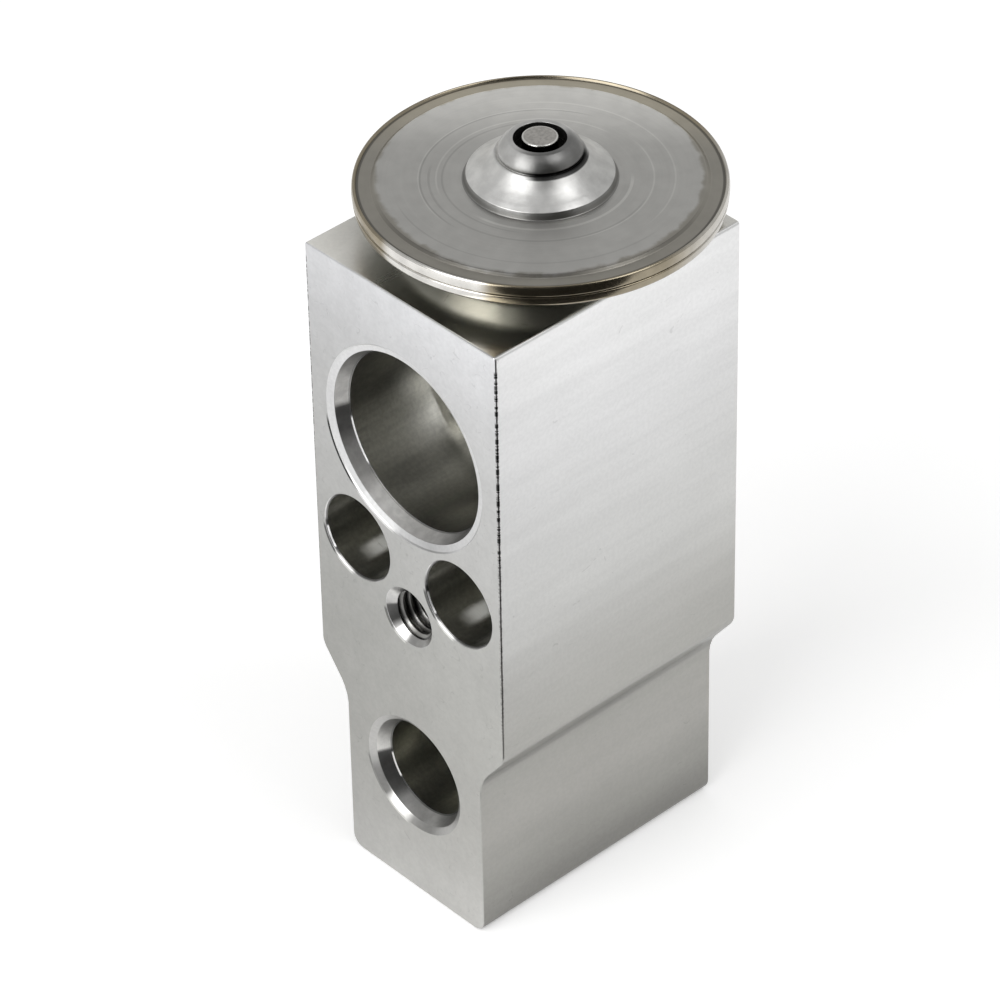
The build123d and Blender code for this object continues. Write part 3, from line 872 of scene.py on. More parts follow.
@dataclass(frozen=True)
class TurnedBore:
    """Turned walls round one axis, with painted light and shade by the turn: pale at the face,
    patchy at the seat, streaked inside.

    Fields named turn hold the low end, the high end and the soft width of a stretch round the
    axis, and fields named depths where a change starts and ends under the face.
    """

    name: str
    centre_x: float = 0.0
    centre_z: float = 0.0
    ring_depth: float = 0.0
    seat_depth: float = 0.0
    wall: Colour = (0.64, 0.635, 0.585)
    seat: Colour = (0.95, 0.94, 0.92)
    ring: Colour = (0.98, 0.98, 0.98)
    # Painted light and shade by the turn round the axis, on the wall, the seat and the ring
    wall_shine: Stops = PLAIN
    seat_shine: Stops = PAINTED_GLINTS
    ring_shine: Stops = PLAIN
    seat_metal: float = 1.0
    # Stretch round the axis of the painted highlight on the seat's lip
    lip_highlight_turn: Triple = (0.54, 0.61, 0.01)
    # Painted shade in one stretch deep inside the bore
    deep_shade_turn: Triple = (0.665, 0.72, 0.025)
    deep_shade_depths: tuple[float, float] = (9.0, 12.5)
    # A painted pool of light, pale and matt, on one stretch of the wall
    has_painted_glow: bool = False
    painted_glow: Colour = (1.0, 1.0, 0.95)
    painted_glow_metal: float = 0.25
    painted_glow_turn: Triple = (0.675, 0.7, 0.03)
    painted_glow_depths: tuple[float, float] = (1.6, 4.6)
    roughness: float = 0.3
    relief: float = 0.005

    def build(self, effects: Effects) -> bpy.types.Material:
        """Build the material.

        Args:
            effects: The shared node groups.

        Returns:
            The finish of the machined bore.
        """
        s = Surface(self.name, roughness=self.roughness)
        y, turn = s.axes["Y"], self._turn(s)
        depth = s.math("MINIMUM", s.math("SUBTRACT", y, FRONT), s.math("SUBTRACT", REAR, y))
        at_seat = s.ramp(depth, self.seat_depth + 0.04, self.seat_depth)
        at_ring = s.ramp(depth, self.ring_depth + 0.05, self.ring_depth)
        grain = s.effect(effects.clouding, Scale=2.4, Detail=1.0)["Patches"]
        feed = s.effect(effects.drawn_lines, Stretch=(0.3, 8.0, 0.3), Wander=0.1)["Lines"]
        on_seat = s.math("SUBTRACT", at_seat, at_ring, clamp=True)
        metal = s.math("MULTIPLY_ADD", on_seat, self.seat_metal - 1.0, 1.0)
        wall = self._wall(s, effects, depth, turn)
        wall = s.shade(wall, grain, 0.88)
        # Painted pool of light on one stretch of the wall, made matt too
        if self.has_painted_glow:
            stretch = s.both(s.band(turn, *self.painted_glow_turn), s.ramp(depth, *self.painted_glow_depths))
            painted_glow_patch = s.both(stretch, s.ramp(feed, 0.2, 0.45))
            wall = s.mix(painted_glow_patch, wall, self.painted_glow)
            metal = s.math("MULTIPLY_ADD", painted_glow_patch, self.painted_glow_metal - 1.0, metal)
        colour = s.mix(at_seat, wall, self._seat(s, effects, depth, turn))
        # The ring with its painted light and shade by the turn
        ring = s.shade(s.scaled(self.ring, s.curve(turn, self.ring_shine)), grain, 0.93)
        s.feed("Base Color", s.shade(s.mix(at_ring, colour, ring), feed, 0.9))
        s.feed("Metallic", metal)
        s.bump(feed, self.relief)
        return s.material

    def _turn(self, s: Surface) -> Any:
        """Turn round the bore's axis, or round the nearer one of two, from 0 to 1.

        Args:
            s: The material in the making.

        Returns:
            The turn.
        """
        x, z = s.axes["X"], s.math("SUBTRACT", s.axes["Z"], self.centre_z)
        if self.centre_x:
            x = s.math("SUBTRACT", x, s.math("MULTIPLY", s.math("SIGN", x), self.centre_x))
        return s.math("FRACT", s.math("DIVIDE", s.math("ARCTAN2", z, x), FULL_TURN))

    def _wall(self, s: Surface, effects: Effects, depth: Any, turn: Any) -> Any:
        """Colour of the wall: painted light and shade by the turn, streaked, and painted shade in
        one stretch deep inside.

        Args:
            s: The material in the making.
            effects: The shared node groups.
            depth: Depth under the nearer face.
            turn: Turn round the axis, from 0 to 1.

        Returns:
            The colour.
        """
        streaks = s.effect(effects.drawn_lines, Stretch=(1.2, 0.03, 1.2), Wander=0.2)["Lines"]
        wall = s.scaled(self.wall, s.curve(turn, self.wall_shine))
        wall = s.shade(wall, s.ramp(streaks, 0.35, 0.65), 0.9)
        # Painted shade in one stretch deep inside
        dark = s.both(s.ramp(depth, *self.deep_shade_depths), s.band(turn, *self.deep_shade_turn))
        return s.shade(wall, dark, 0.5)

    def _seat(self, s: Surface, effects: Effects, depth: Any, turn: Any) -> Any:
        """Colour of the tapered seat: painted light and shade by the turn, blotchy, with painted
        shade at its inner edge and a painted highlight on its lip.

        Args:
            s: The material in the making.
            effects: The shared node groups.
            depth: Depth under the nearer face.
            turn: Turn round the axis, from 0 to 1.

        Returns:
            The colour.
        """
        end = self.seat_depth
        blotches = s.effect(effects.clouding, Scale=1.1, Detail=4.0)["Patches"]
        seat = s.shade(s.scaled(self.seat, s.curve(turn, self.seat_shine)), blotches, 0.8)
        # Painted shade at the seat's inner edge
        seat = s.shade(seat, s.ramp(depth, end - 0.14, end - 0.1), 0.3)
        # Painted highlight on the seat's lip
        lip_highlight = s.both(s.band(depth, end - 0.12, end, 0.03), s.band(turn, *self.lip_highlight_turn))
        return s.mix(lip_highlight, seat, self.ring)


@dataclass(frozen=True)
class Arc:
    """A faint tool mark round the dome, and the factor by which it darkens or lightens.

    It lies toward one direction round the stem, and starts at a closeness to it from -1 to 1.
    """

    radius: float
    width: float
    across: float
    along: float
    start: float
    factor: float


@dataclass(frozen=True)
class StampedSteel:
    """Stamped head shells: polished dome, satin plate, brownish band and straw bead.

    Fields named way hold a direction round the stem, as its shares across and along the depth.
    The ragged ways also hold how close to the direction the raggedness starts.
    """

    disc: Colour = (0.585, 0.578, 0.555)
    dome: Colour = (0.95, 0.945, 0.925)
    band: Colour = (0.4, 0.382, 0.34)
    # Painted light: the band lighter toward the back
    back_band_light: Colour = (0.62, 0.57, 0.46)
    bead: Colour = (0.86, 0.84, 0.8)
    tint: Colour = (0.4, 0.35, 0.26)
    # Painted shade: the base's pan dark under the rim
    pan_shade: Colour = (0.34, 0.34, 0.31)
    # Painted reflection on one side of the base's cone
    cone_highlight: Colour = (0.68, 0.67, 0.61)
    gap_colour: Colour = NEAR_BLACK
    dome_radius: float = 7.5
    rim_radius: float = 18.1
    band_radius: float = 16.3
    pan_radius: float = 17.8
    pan_top: float = 79.6
    cone_radius: float = 14.8
    cone_bottom: float = 76.75
    cone_top: float = 78.3
    plate_top: float = 81.25
    collar_bottom: float = 84.1
    well_radius: float = 2.7
    well_bottom: float = 83.4
    back_way: tuple[float, float] = (-0.707, 0.707)
    cone_way: tuple[float, float] = (0.29, -0.957)
    # Direction of the painted shade on the collar and in the crease at its foot
    crease_shade_way: tuple[float, float] = (0.996, -0.087)
    # Directions round the stem of the stretches where the bead is paler and neutral
    neutral_way: tuple[float, float] = (0.19, -0.98)
    half_neutral_way: tuple[float, float] = (0.8, 0.6)
    ragged_ways: tuple[Triple, ...] = ((0.92, 0.38, 0.5), (-0.3, -0.95, 0.85))
    arcs: tuple[Arc, ...] = (
        Arc(8.4, 0.5, 0.94, -0.34, 0.4, 0.94),
        Arc(8.9, 0.25, 0.94, -0.34, 0.3, 1.22),
        Arc(9.6, 0.12, -0.7, -0.7, 0.1, 0.85),
        Arc(10.2, 0.1, -0.98, 0.2, 0.2, 1.15),
        Arc(10.9, 0.16, 0.5, -0.87, 0.0, 0.86),
        Arc(11.1, 0.1, 0.9, 0.44, 0.5, 1.16),
        Arc(11.8, 0.12, -0.98, -0.2, 0.1, 0.82),
        Arc(11.95, 0.1, -0.98, -0.2, 0.2, 1.14),
        Arc(13.2, 0.1, 0.2, 0.98, 0.3, 1.12),
        Arc(14.6, 0.1, 0.6, -0.8, 0.4, 0.88),
    )
    roughness: float = 0.34
    dome_dulling: float = 0.02
    rim_polish: float = 0.14
    relief: float = 0.006

    def build(self, effects: Effects) -> bpy.types.Material:
        """Build the material.

        Args:
            effects: The shared node groups.

        Returns:
            The finish of the power head's shells.
        """
        s = Surface("stamped_steel", roughness=self.roughness)
        z = s.axes["Z"]
        rings = s.effect(effects.rings, Density=4.0, Break=0.6)
        radius, lines = rings["Radius"], rings["Lines"]
        mottle = s.effect(effects.clouding, Scale=0.55, Detail=4.0)["Patches"]
        on_dome = s.ramp(radius, self.dome_radius, self.dome_radius - 0.1)
        on_rim = s.ramp(radius, self.rim_radius, self.rim_radius + 0.05)
        colour = self._plate(s, radius, mottle)
        colour = s.mix(on_dome, colour, self._dome(s, mottle))
        colour = s.mix(on_rim, colour, self._rim(s, mottle))
        # Painted shade on the base's pan under the rim
        pan_shade = s.both(
            s.ramp(z, self.pan_top, self.pan_top - 0.2),
            s.ramp(radius, self.pan_radius, self.pan_radius - 0.2),
        )
        colour = s.mix(pan_shade, colour, self.pan_shade)
        # Painted reflection on one side of the base's cone
        cone_highlight = s.both(
            s.band(z, self.cone_bottom, self.cone_top, 0.2),
            s.ramp(radius, self.cone_radius, self.cone_radius - 0.1),
            s.ramp(s.toward(*self.cone_way), 0.965, 0.997),
        )
        colour = s.mix(cone_highlight, colour, self.cone_highlight)
        # Painted shadow round the foot of the dome's step
        dome_step_shadow = s.both(
            s.band(radius, self.dome_radius - 0.2, self.dome_radius + 0.2, 0.06),
            s.band(z, self.plate_top - 0.05, self.plate_top + 0.7, 0.05),
        )
        colour = s.shade(colour, dome_step_shadow, 0.5)
        well = s.both(
            s.ramp(radius, self.well_radius, self.well_radius - 0.08),
            s.ramp(z, self.well_bottom, self.well_bottom + 0.2),
        )
        # Near-black on the well's wall round the plug
        colour = s.mix(well, colour, self.gap_colour)
        for arc in self.arcs:
            line = s.band(radius, arc.radius, arc.radius + arc.width, 0.07)
            side = s.ramp(s.toward(arc.across, arc.along), arc.start, arc.start + 0.25)
            colour = s.shade(colour, s.both(line, side), arc.factor)
        s.feed("Base Color", s.shade(colour, lines, 0.9))
        polish = s.math("MULTIPLY_ADD", on_dome, self.dome_dulling, self.roughness)
        s.feed("Roughness", s.math("MULTIPLY_ADD", on_rim, -self.rim_polish, polish))
        s.bump(s.math("MULTIPLY_ADD", s.both(on_dome, mottle), 2.0, lines), self.relief)
        return s.material

    def _plate(self, s: Surface, radius: Any, mottle: Any) -> Any:
        """Colour of the plate and of the brownish band inside the bead, with its ragged edge,
        painted light toward the back and painted shade at the front step and in the groove by the
        bead.

        Args:
            s: The material in the making.
            radius: Distance from the stem's axis.
            mottle: Soft patches.

        Returns:
            The colour.
        """
        start = self.band_radius
        away = s.vector("DOT_PRODUCT", s.position, (*self.back_way, 0.0))
        back, front = s.ramp(away, 3.0, 16.0), s.ramp(away, 0.0, -14.0)
        ragged = s.math("MULTIPLY_ADD", mottle, 0.45, radius)
        for across, along, from_side in self.ragged_ways:
            side = s.ramp(s.toward(across, along), from_side, 0.97)
            ragged = s.math("MULTIPLY_ADD", side, 0.45, ragged)
        # Painted light: the band lighter toward the back
        band = s.mix(back, self.band, self.back_band_light)
        # Painted shade along the groove inside the bead
        band = s.shade(band, s.band(radius, 17.95, 18.15, 0.12), 0.45)
        # Painted light: the plate lighter toward the back
        colour = s.mix(s.ramp(ragged, start, start + 0.6), s.shade(self.disc, back, 1.68), band)
        # Painted highlight on the band's inner edge at the back
        edge = s.band(radius, start, start + 0.12, 0.05)
        colour = s.shade(colour, s.both(edge, back), 1.25)
        # Painted shade on the plate's step down to the band, toward the front
        front_step_shade = s.band(radius, start + 0.1, start + 0.5, 0.06)
        front_step_shade = s.both(front_step_shade, s.ramp(s.axes["Z"], 80.93, 81.0), front)
        return s.shade(s.shade(colour, front_step_shade, 0.5), mottle, 0.93)

    def _dome(self, s: Surface, mottle: Any) -> Any:
        """Colour of the dome and collar, with painted shade on the collar and to one side, and a
        painted dark crease at the collar's foot that opens on that side.

        Args:
            s: The material in the making.
            mottle: Soft patches.

        Returns:
            The colour.
        """
        z, right, bottom = s.axes["Z"], s.toward(*self.crease_shade_way), self.collar_bottom
        colour = s.shade(self.dome, mottle, 0.8)
        # Painted shade on the collar and toward one side
        collar, shadow = s.ramp(z, bottom, bottom + 0.2), s.ramp(right, -0.1, 0.8)
        colour = s.shade(colour, s.math("MAXIMUM", collar, shadow), 0.78)
        colour = s.shade(colour, s.both(collar, shadow), 0.35)
        # Painted dark crease at the collar's foot, opening on one side
        seam = s.both(s.band(z, bottom - 0.05, bottom + 0.35, 0.12), s.ramp(right, 0.45, 0.75))
        return s.shade(colour, seam, 0.1)

    def _rim(self, s: Surface, mottle: Any) -> Any:
        """Colour of the bead: straw all round, paler and neutral in two stretches round the stem.

        Args:
            s: The material in the making.
            mottle: Soft patches.

        Returns:
            The colour.
        """
        # Stretches where the bead is paler and neutral
        neutral_stretch = s.ramp(s.toward(*self.neutral_way), 0.93, 0.962)
        half = s.math("MULTIPLY", s.ramp(s.toward(*self.half_neutral_way), 0.75, 0.98), 0.7)
        neutral_stretch = s.math("MAXIMUM", neutral_stretch, half)
        return s.shade(s.mix(neutral_stretch, self.tint, self.bead), mottle, 0.85)


@dataclass(frozen=True)
class SealedPlug:
    """Turned plug: speckled end, pale rim and near-black round its side."""

    end: Colour = (0.56, 0.54, 0.51)
    edge: Colour = (0.8, 0.79, 0.76)
    gap_colour: Colour = NEAR_BLACK
    radius: float = 1.8
    edge_width: float = 0.14
    top: float = 86.1
    roughness: float = 0.3

    def build(self, effects: Effects) -> bpy.types.Material:
        """Build the material.

        Args:
            effects: The shared node groups.

        Returns:
            The plug's finish.
        """
        s = Surface("sealed_plug", roughness=self.roughness)
        radius = s.effect(effects.rings)["Radius"]
        specks = s.effect(effects.clouding, Scale=3.0)["Patches"]
        colour = s.shade(self.end, specks, 0.75)
        start = self.radius - self.edge_width
        colour = s.mix(s.ramp(radius, start - 0.08, start), colour, self.edge)
        side = s.ramp(s.axes["Z"], self.top - 0.12, self.top - 0.18)
        s.feed("Base Color", s.mix(side, colour, self.gap_colour))
        s.bump(specks, 0.01)
        return s.material


@dataclass(frozen=True)
class PlainMetal:
    """A turned, ground or drawn metal with light surface variation."""

    name: str
    tone: Colour
    roughness: float = 0.25
    grain: float = 2.0

    def build(self, effects: Effects) -> bpy.types.Material:
        """Build the material.

        Args:
            effects: The shared node groups.

        Returns:
            The finish.
        """
        s = Surface(self.name, roughness=self.roughness)
        grain = s.effect(effects.clouding, Scale=self.grain)["Patches"]
        s.feed("Base Color", s.mix(grain, tuple(c * 0.88 for c in self.tone), self.tone))
        s.feed("Roughness", s.math("MULTIPLY_ADD", grain, 0.1, self.roughness - 0.05))
        s.bump(grain, 0.004)
        return s.material


@dataclass(frozen=True)
class MouldedRubber:
    """Matt black rubber of the seals."""

    tone: Colour = (0.022, 0.022, 0.022)
    roughness: float = 0.55

    def build(self, effects: Effects) -> bpy.types.Material:
        """Build the material.

        Args:
            effects: The shared node groups.

        Returns:
            The finish.
        """
        s = Surface("moulded_rubber", metallic=0.0, roughness=self.roughness)
        bloom = s.effect(effects.clouding, Scale=1.5)["Patches"]
        s.feed("Base Color", s.mix(bloom, self.tone, tuple(c * 1.8 for c in self.tone)))
        s.bump(bloom, 0.01)
        return s.material


# Block


@dataclass(frozen=True)
class Port:
    """A stepped port: shallow ring, tapered seat and bore."""

    height: float
    ring: float
    ring_depth: float
    seat: float
    seat_depth: float
    bore: float
    depth: float
    edge: float = 0.0
    rounding: float = 0.0

    def mouth(self) -> list[Corner]:
        """Corners from outside the face to the end of the bore.

        Returns:
            The corners.
        """
        return [
            Corner(self.ring, -PAST),
            Corner(self.ring, 0.0),
            Corner(self.ring - self.edge, self.edge * 0.8),
            Corner(self.seat, self.ring_depth, self.rounding),
            Corner(self.bore + 0.1, self.seat_depth - 0.1),
            Corner(self.bore, self.seat_depth),
            Corner(self.bore, self.depth),
        ]

    def finish(self, name: str, **looks: Any) -> TurnedBore:
        """Finish of the port's walls."""
        return TurnedBore(name, 0.0, self.height, self.ring_depth, self.seat_depth, **looks)


@dataclass(frozen=True)
class ValveBlock:
    """The aluminium block with its ports, fastening holes and stem bores.

    The groove of the thread has half widths at its foot and tip that are shares of the pitch. The
    stem's profile lists radius and height of each corner from the screw's mouth up to the head.
    """

    foot_width: float = 20.3
    foot_height: float = 20.8
    shoulder_rise: float = 4.7
    edge_break: float = 0.2
    suction: Port = Port(57.8, 11.45, 0.3, 10.6, 1.9, 10.0, 13.0, edge=0.16)
    suction_rear_depth: float = 9.0
    suction_passage: float = 8.6
    inlet: Port = Port(15.5, 7.0, 0.45, 6.3, 1.9, 5.5, 9.0, rounding=0.1)
    inlet_passage: float = 4.2
    outlet: Port = Port(27.5, 8.0, 0.45, 7.3, 1.9, 6.5, 7.0, rounding=0.1)
    outlet_passage: float = 3.2
    outlet_past_axis: float = 1.6
    bolt_x: float = 7.55
    bolt_height: float = 42.45
    bolt_radius: float = 4.75
    bolt_chamfer: float = 0.22
    stud_height: float = 36.5
    stud_mouth: float = 3.45
    stud_minor: float = 2.5
    stud_major: float = 3.0
    stud_depth: float = 12.0
    stud_pitch: float = 1.0
    thread_foot: float = 0.44
    thread_tip: float = 0.07
    thread_overlap: float = 0.12
    thread_runout: float = 2.0
    stem_profile: tuple[tuple[float, float], ...] = (
        (7.6, -PAST), (7.6, 0.0), (7.0, 0.6), (7.0, 9.8), (6.2, 9.8), (6.2, 21.5),
        (3.0, 21.5), (1.7, 22.8), (1.7, 27.5), (1.26, 27.5), (1.26, 45.4), (2.45, 45.4),
        (2.45, 57.8), (4.6, 57.8), (4.6, 68.1), (8.95, 68.1), (8.95, 75.1), (10.75, 75.1),
        (10.75, HEIGHT + PAST),
    )  # fmt: skip

    def build(self, outside: bpy.types.Material, effects: Effects) -> bpy.types.Object:
        """Build the block.

        Args:
            outside: Finish of the outer faces.
            effects: The shared node groups.

        Returns:
            The block's piece.
        """
        block = as_object("block", self._outline())
        block.data.materials.append(outside)
        holes = (
            (self._suction_bore(), [self._suction()]),
            (self._port_bore("inlet_bore", self.inlet), [self._inlet()]),
            (self._port_bore("outlet_bore", self.outlet), [self._outlet()]),
            (self._bolt_bore(), self._bolt_holes()),
            (self._stud_bore(), self._stud_hole()),
            (TurnedBore("stem_bore"), [self._stem_bores()]),
        )
        cutters = []
        for bore, solids in holes:
            finish = bore.build(effects)
            for solid in solids:
                solid.data.materials.append(finish)
            cutters += solids
        carve(block, cutters)
        return block

    def _suction_bore(self) -> TurnedBore:
        """Finish of the large ports and the passage between them, with painted light and shade.

        Returns:
            The finish.
        """
        return self.suction.finish(
            "suction_bore",
            wall=(0.97, 0.96, 0.89),
            seat=(1.0, 0.985, 0.96),
            wall_shine=SUCTION_WALL_LIGHT,
            seat_shine=SUCTION_SEAT_LIGHT,
            ring_shine=SUCTION_RING_LIGHT,
            seat_metal=0.35,
        )

    def _port_bore(self, name: str, port: Port) -> TurnedBore:
        """Finish of a small port, with painted light and shade, greyer at the ring and brighter
        inside.

        Args:
            name: Name of the finish.
            port: The port.

        Returns:
            The finish.
        """
        return port.finish(
            name,
            wall=(1.0, 0.99, 0.89),
            seat=(0.9, 0.89, 0.86),
            ring=(0.98, 0.97, 0.945),
            wall_shine=PORT_WALL_LIGHT,
            seat_shine=PORT_SEAT_LIGHT,
            ring_shine=PORT_RING_LIGHT,
            seat_metal=0.5,
        )

    def _bolt_bore(self) -> TurnedBore:
        """Finish of the clamping screws' holes, with a painted matt pool of light on the lower
        wall.

        Returns:
            The finish.
        """
        return TurnedBore(
            "bolt_bore",
            self.bolt_x,
            self.bolt_height,
            seat_depth=self.bolt_chamfer,
            wall=(0.97, 0.96, 0.88),
            wall_shine=BOLT_WALL_LIGHT,
            has_painted_glow=True,
        )

    def _stud_bore(self) -> TurnedBore:
        """Finish of the tapped hole, with painted light and shade and painted glints.

        Returns:
            The finish.
        """
        return TurnedBore(
            "stud_bore",
            centre_z=self.stud_height,
            seat_depth=self.stud_mouth - self.stud_minor,
            wall=(0.95, 0.94, 0.9),
            wall_shine=STUD_WALL_LIGHT,
        )

    def _outline(self) -> bmesh.types.BMesh:
        """The block's outer shape, extruded along the depth.

        Returns:
            The mesh.
        """
        half, foot = WIDTH / 2, self.foot_width / 2
        right = [
            Corner(foot, 0.0, 1.5),
            Corner(foot, self.foot_height, 1.52),
            Corner(half, self.foot_height + self.shoulder_rise, 0.68),
            Corner(half, HEIGHT, 0.4),
        ]
        left = [Corner(-c.across, c.up, c.rounding) for c in reversed(right)]
        bm = bmesh.new()
        face = section_face(bm, right + left)
        sides = bmesh.ops.extrude_face_region(bm, geom=[face])["geom"]
        moved = [v for v in sides if isinstance(v, bmesh.types.BMVert)]
        bmesh.ops.translate(bm, vec=(0, REAR - FRONT, 0), verts=moved)
        bmesh.ops.translate(bm, vec=(0, FRONT, 0), verts=bm.verts[:])
        bmesh.ops.recalc_face_normals(bm, faces=bm.faces[:])
        rims = [e for e in bm.edges if abs(e.verts[0].co.y - e.verts[1].co.y) < 1e-6]
        bmesh.ops.bevel(
            bm,
            geom=rims,
            offset=self.edge_break,
            offset_type="OFFSET",
            segments=math.ceil(math.radians(90) / FACET_ANGLE),
            profile=0.5,
            affect="EDGES",
            clamp_overlap=True,
            material=-1,
        )
        return bm

    def _along_depth(
        self, name: str, corners: list[Corner], x: float, height: float, rear: bool = False
    ) -> bpy.types.Object:
        """Turn a cutter and lay it along the depth.

        Args:
            name: Name of the cutter.
            corners: Its half section, whose heights are depths under the face.
            x: Its place across the block.
            height: Its height on the block.
            rear: Whether it starts from the rear face.

        Returns:
            The cutter.
        """
        way = Vector((0, -1, 0)) if rear else Vector((0, 1, 0))
        place = Vector((x, REAR if rear else FRONT, height))
        return as_object(name, turned(corners), facing(way, place))

    def _suction(self) -> bpy.types.Object:
        """The suction passage with a port at each end.

        Returns:
            The cutter.
        """
        port, depth = self.suction, REAR - FRONT
        rear_end = depth - self.suction_rear_depth
        rear = [Corner(c.across, depth - c.up) for c in reversed(port.mouth()[:-1])]
        corners = [
            *port.mouth(),
            Corner(self.suction_passage, port.depth),
            Corner(self.suction_passage, rear_end),
            Corner(port.bore, rear_end),
            *rear,
        ]
        return self._along_depth("cut_suction", on_axis(corners), 0.0, port.height)

    def _inlet(self) -> bpy.types.Object:
        """The liquid inlet, from the front face to the chamber.

        Returns:
            The cutter.
        """
        port, passage = self.inlet, self.inlet_passage
        corners = [*port.mouth(), Corner(passage, port.depth), Corner(passage, -FRONT)]
        return self._along_depth("cut_inlet", on_axis(corners), 0.0, port.height)

    def _outlet(self) -> bpy.types.Object:
        """The outlet to the evaporator, from the rear face past the stem axis.

        Returns:
            The cutter.
        """
        port, passage, end = self.outlet, self.outlet_passage, REAR + self.outlet_past_axis
        corners = [*port.mouth(), Corner(passage, port.depth), Corner(passage, end)]
        return self._along_depth("cut_outlet", on_axis(corners), 0.0, port.height, rear=True)

    def _bolt_holes(self) -> list[bpy.types.Object]:
        """The two plain holes for the clamping screws.

        Returns:
            The cutters.
        """
        depth, wide = REAR - FRONT, self.bolt_radius + self.bolt_chamfer
        corners = [
            Corner(wide, -PAST),
            Corner(wide, 0.0),
            Corner(self.bolt_radius, self.bolt_chamfer),
            Corner(self.bolt_radius, depth - self.bolt_chamfer),
            Corner(wide, depth),
            Corner(wide, depth + PAST),
        ]
        return [
            self._along_depth(
                f"cut_bolt_{side}", on_axis(corners), side * self.bolt_x, self.bolt_height
            )
            for side in (-1, 1)
        ]

    def _stud_hole(self) -> list[bpy.types.Object]:
        """The tapped hole: countersunk core drill and thread groove.

        Returns:
            The cutters.
        """
        drill_point = self.stud_minor * 0.6
        core = [
            Corner(0.0, -PAST),
            Corner(self.stud_mouth, -PAST),
            Corner(self.stud_mouth, 0.0),
            Corner(self.stud_minor, self.stud_mouth - self.stud_minor),
            Corner(self.stud_minor, self.stud_depth),
            Corner(0.0, self.stud_depth + drill_point),
        ]
        inner, pitch = self.stud_minor - self.thread_overlap, self.stud_pitch
        groove = [
            Corner(inner, -self.thread_foot * pitch),
            Corner(self.stud_major, -self.thread_tip * pitch),
            Corner(self.stud_major, self.thread_tip * pitch),
            Corner(inner, self.thread_foot * pitch),
        ]
        thread = as_object(
            "cut_thread",
            coiled(groove, pitch, self.stud_depth - self.thread_runout, steps=36),
            facing(Vector((0, 1, 0)), Vector((0.0, FRONT + 0.1, self.stud_height))),
        )
        return [self._along_depth("cut_stud", core, 0.0, self.stud_height), thread]

    def _stem_bores(self) -> bpy.types.Object:
        """Everything bored along the stem."""
        corners = [Corner(radius, height) for radius, height in self.stem_profile]
        return as_object("cut_stem", turned(on_axis(corners)))


# Head


@dataclass(frozen=True)
class PowerHead:
    """Stamped head: cover with dome and collar, base with its neck, and the plug."""

    radius: float = 18.6
    neck_radius: float = 8.85
    neck_hole: float = 6.0
    base_bottom: float = 68.4
    pan_bottom: float = 76.6
    pan_rise: float = 2.15
    pan_thickness: float = 0.95
    seam: float = 79.9
    rim_top: float = 80.9
    plate_top: float = 81.25
    cover_inside: float = 80.45
    collar_top: float = 85.95
    well_radius: float = 2.65
    well_depth: float = 1.3
    plug_hole: float = 1.52
    plug_shank: float = 1.5
    plug_radius: float = 1.8
    plug_length: float = 1.4
    plug_top: float = 86.1
    steps: int = 192
    plug_steps: int = 96

    def cover(self) -> bpy.types.Object:
        """The cover, whose stepped dome carries the plug's collar.

        Returns:
            The piece.
        """
        radius, rim, plate, top = self.radius, self.rim_top, self.plate_top, self.collar_top
        hollow = [
            Corner(self.plug_hole, top - 2.2),
            Corner(3.2, top - 2.2, 0.3),
            Corner(6.55, self.cover_inside, 0.3),
            Corner(15.4, self.cover_inside),
            Corner(15.95, self.seam),
        ]
        bead = [
            Corner(radius - 0.02, self.seam + 0.02, 0.3),
            Corner(radius, rim - 0.2, 0.25),
            Corner(radius - 0.12, rim + 0.16, 0.12),
            Corner(radius - 0.32, rim + 0.25, 0.08),
            Corner(radius - 0.44, rim + 0.1, 0.02),
            Corner(radius - 0.5, rim),
            Corner(radius - 1.85, rim, 0.1),
            Corner(radius - 2.25, plate, 0.18),
        ]
        dome = [
            Corner(7.6, plate, 0.12),
            Corner(7.35, plate + 0.75, 0.05),
            Corner(6.3, plate + 1.4, 0.5),
            Corner(5.1, plate + 2.35, 0.5),
            Corner(4.5, plate + 3.05, 0.05),
        ]
        collar = [
            Corner(4.2, plate + 2.95, 0.05),
            Corner(4.3, plate + 3.35, 0.12),
            Corner(3.95, plate + 4.05, 0.4),
            Corner(3.15, top, 0.12),
            Corner(self.well_radius, top, 0.08),
            Corner(self.well_radius, top - self.well_depth),
            Corner(self.plug_hole, top - self.well_depth),
        ]
        return as_object("head_cover_shell", turned(hollow + bead + dome + collar, self.steps))

    def base(self) -> bpy.types.Object:
        """The base shell with the neck that screws into the block.

        Returns:
            The piece.
        """
        bottom, seam, inside = self.pan_bottom, self.seam, self.radius - 0.6
        corners = [
            Corner(self.neck_hole, self.base_bottom),
            Corner(self.neck_radius, self.base_bottom, 0.4),
            Corner(self.neck_radius, bottom, 0.1),
            Corner(13.1, bottom, 0.6),
            Corner(14.6, bottom + self.pan_rise, 0.4),
            Corner(self.radius - 0.2, bottom + self.pan_rise, 0.42),
            Corner(self.radius - 0.03, seam - 0.02, 0.22),
            Corner(inside, seam - 0.02),
            Corner(inside, seam - 0.15),
            Corner(13.6, seam - 0.15),
            Corner(12.6, bottom + self.pan_thickness),
            Corner(self.neck_hole, bottom + self.pan_thickness),
        ]
        return as_object("head_base_shell", turned(corners, self.steps))

    def plug(self) -> bpy.types.Object:
        """The headed plug in the collar's well.

        Returns:
            The piece.
        """
        shoulder = self.collar_top - self.well_depth
        corners = [
            Corner(self.plug_shank, shoulder - self.plug_length, 0.1),
            Corner(self.plug_shank, shoulder),
            Corner(self.plug_radius, shoulder),
            Corner(self.plug_radius, self.plug_top, 0.12),
        ]
        return as_object("plug", turned(on_axis(corners), self.plug_steps))


# Spring


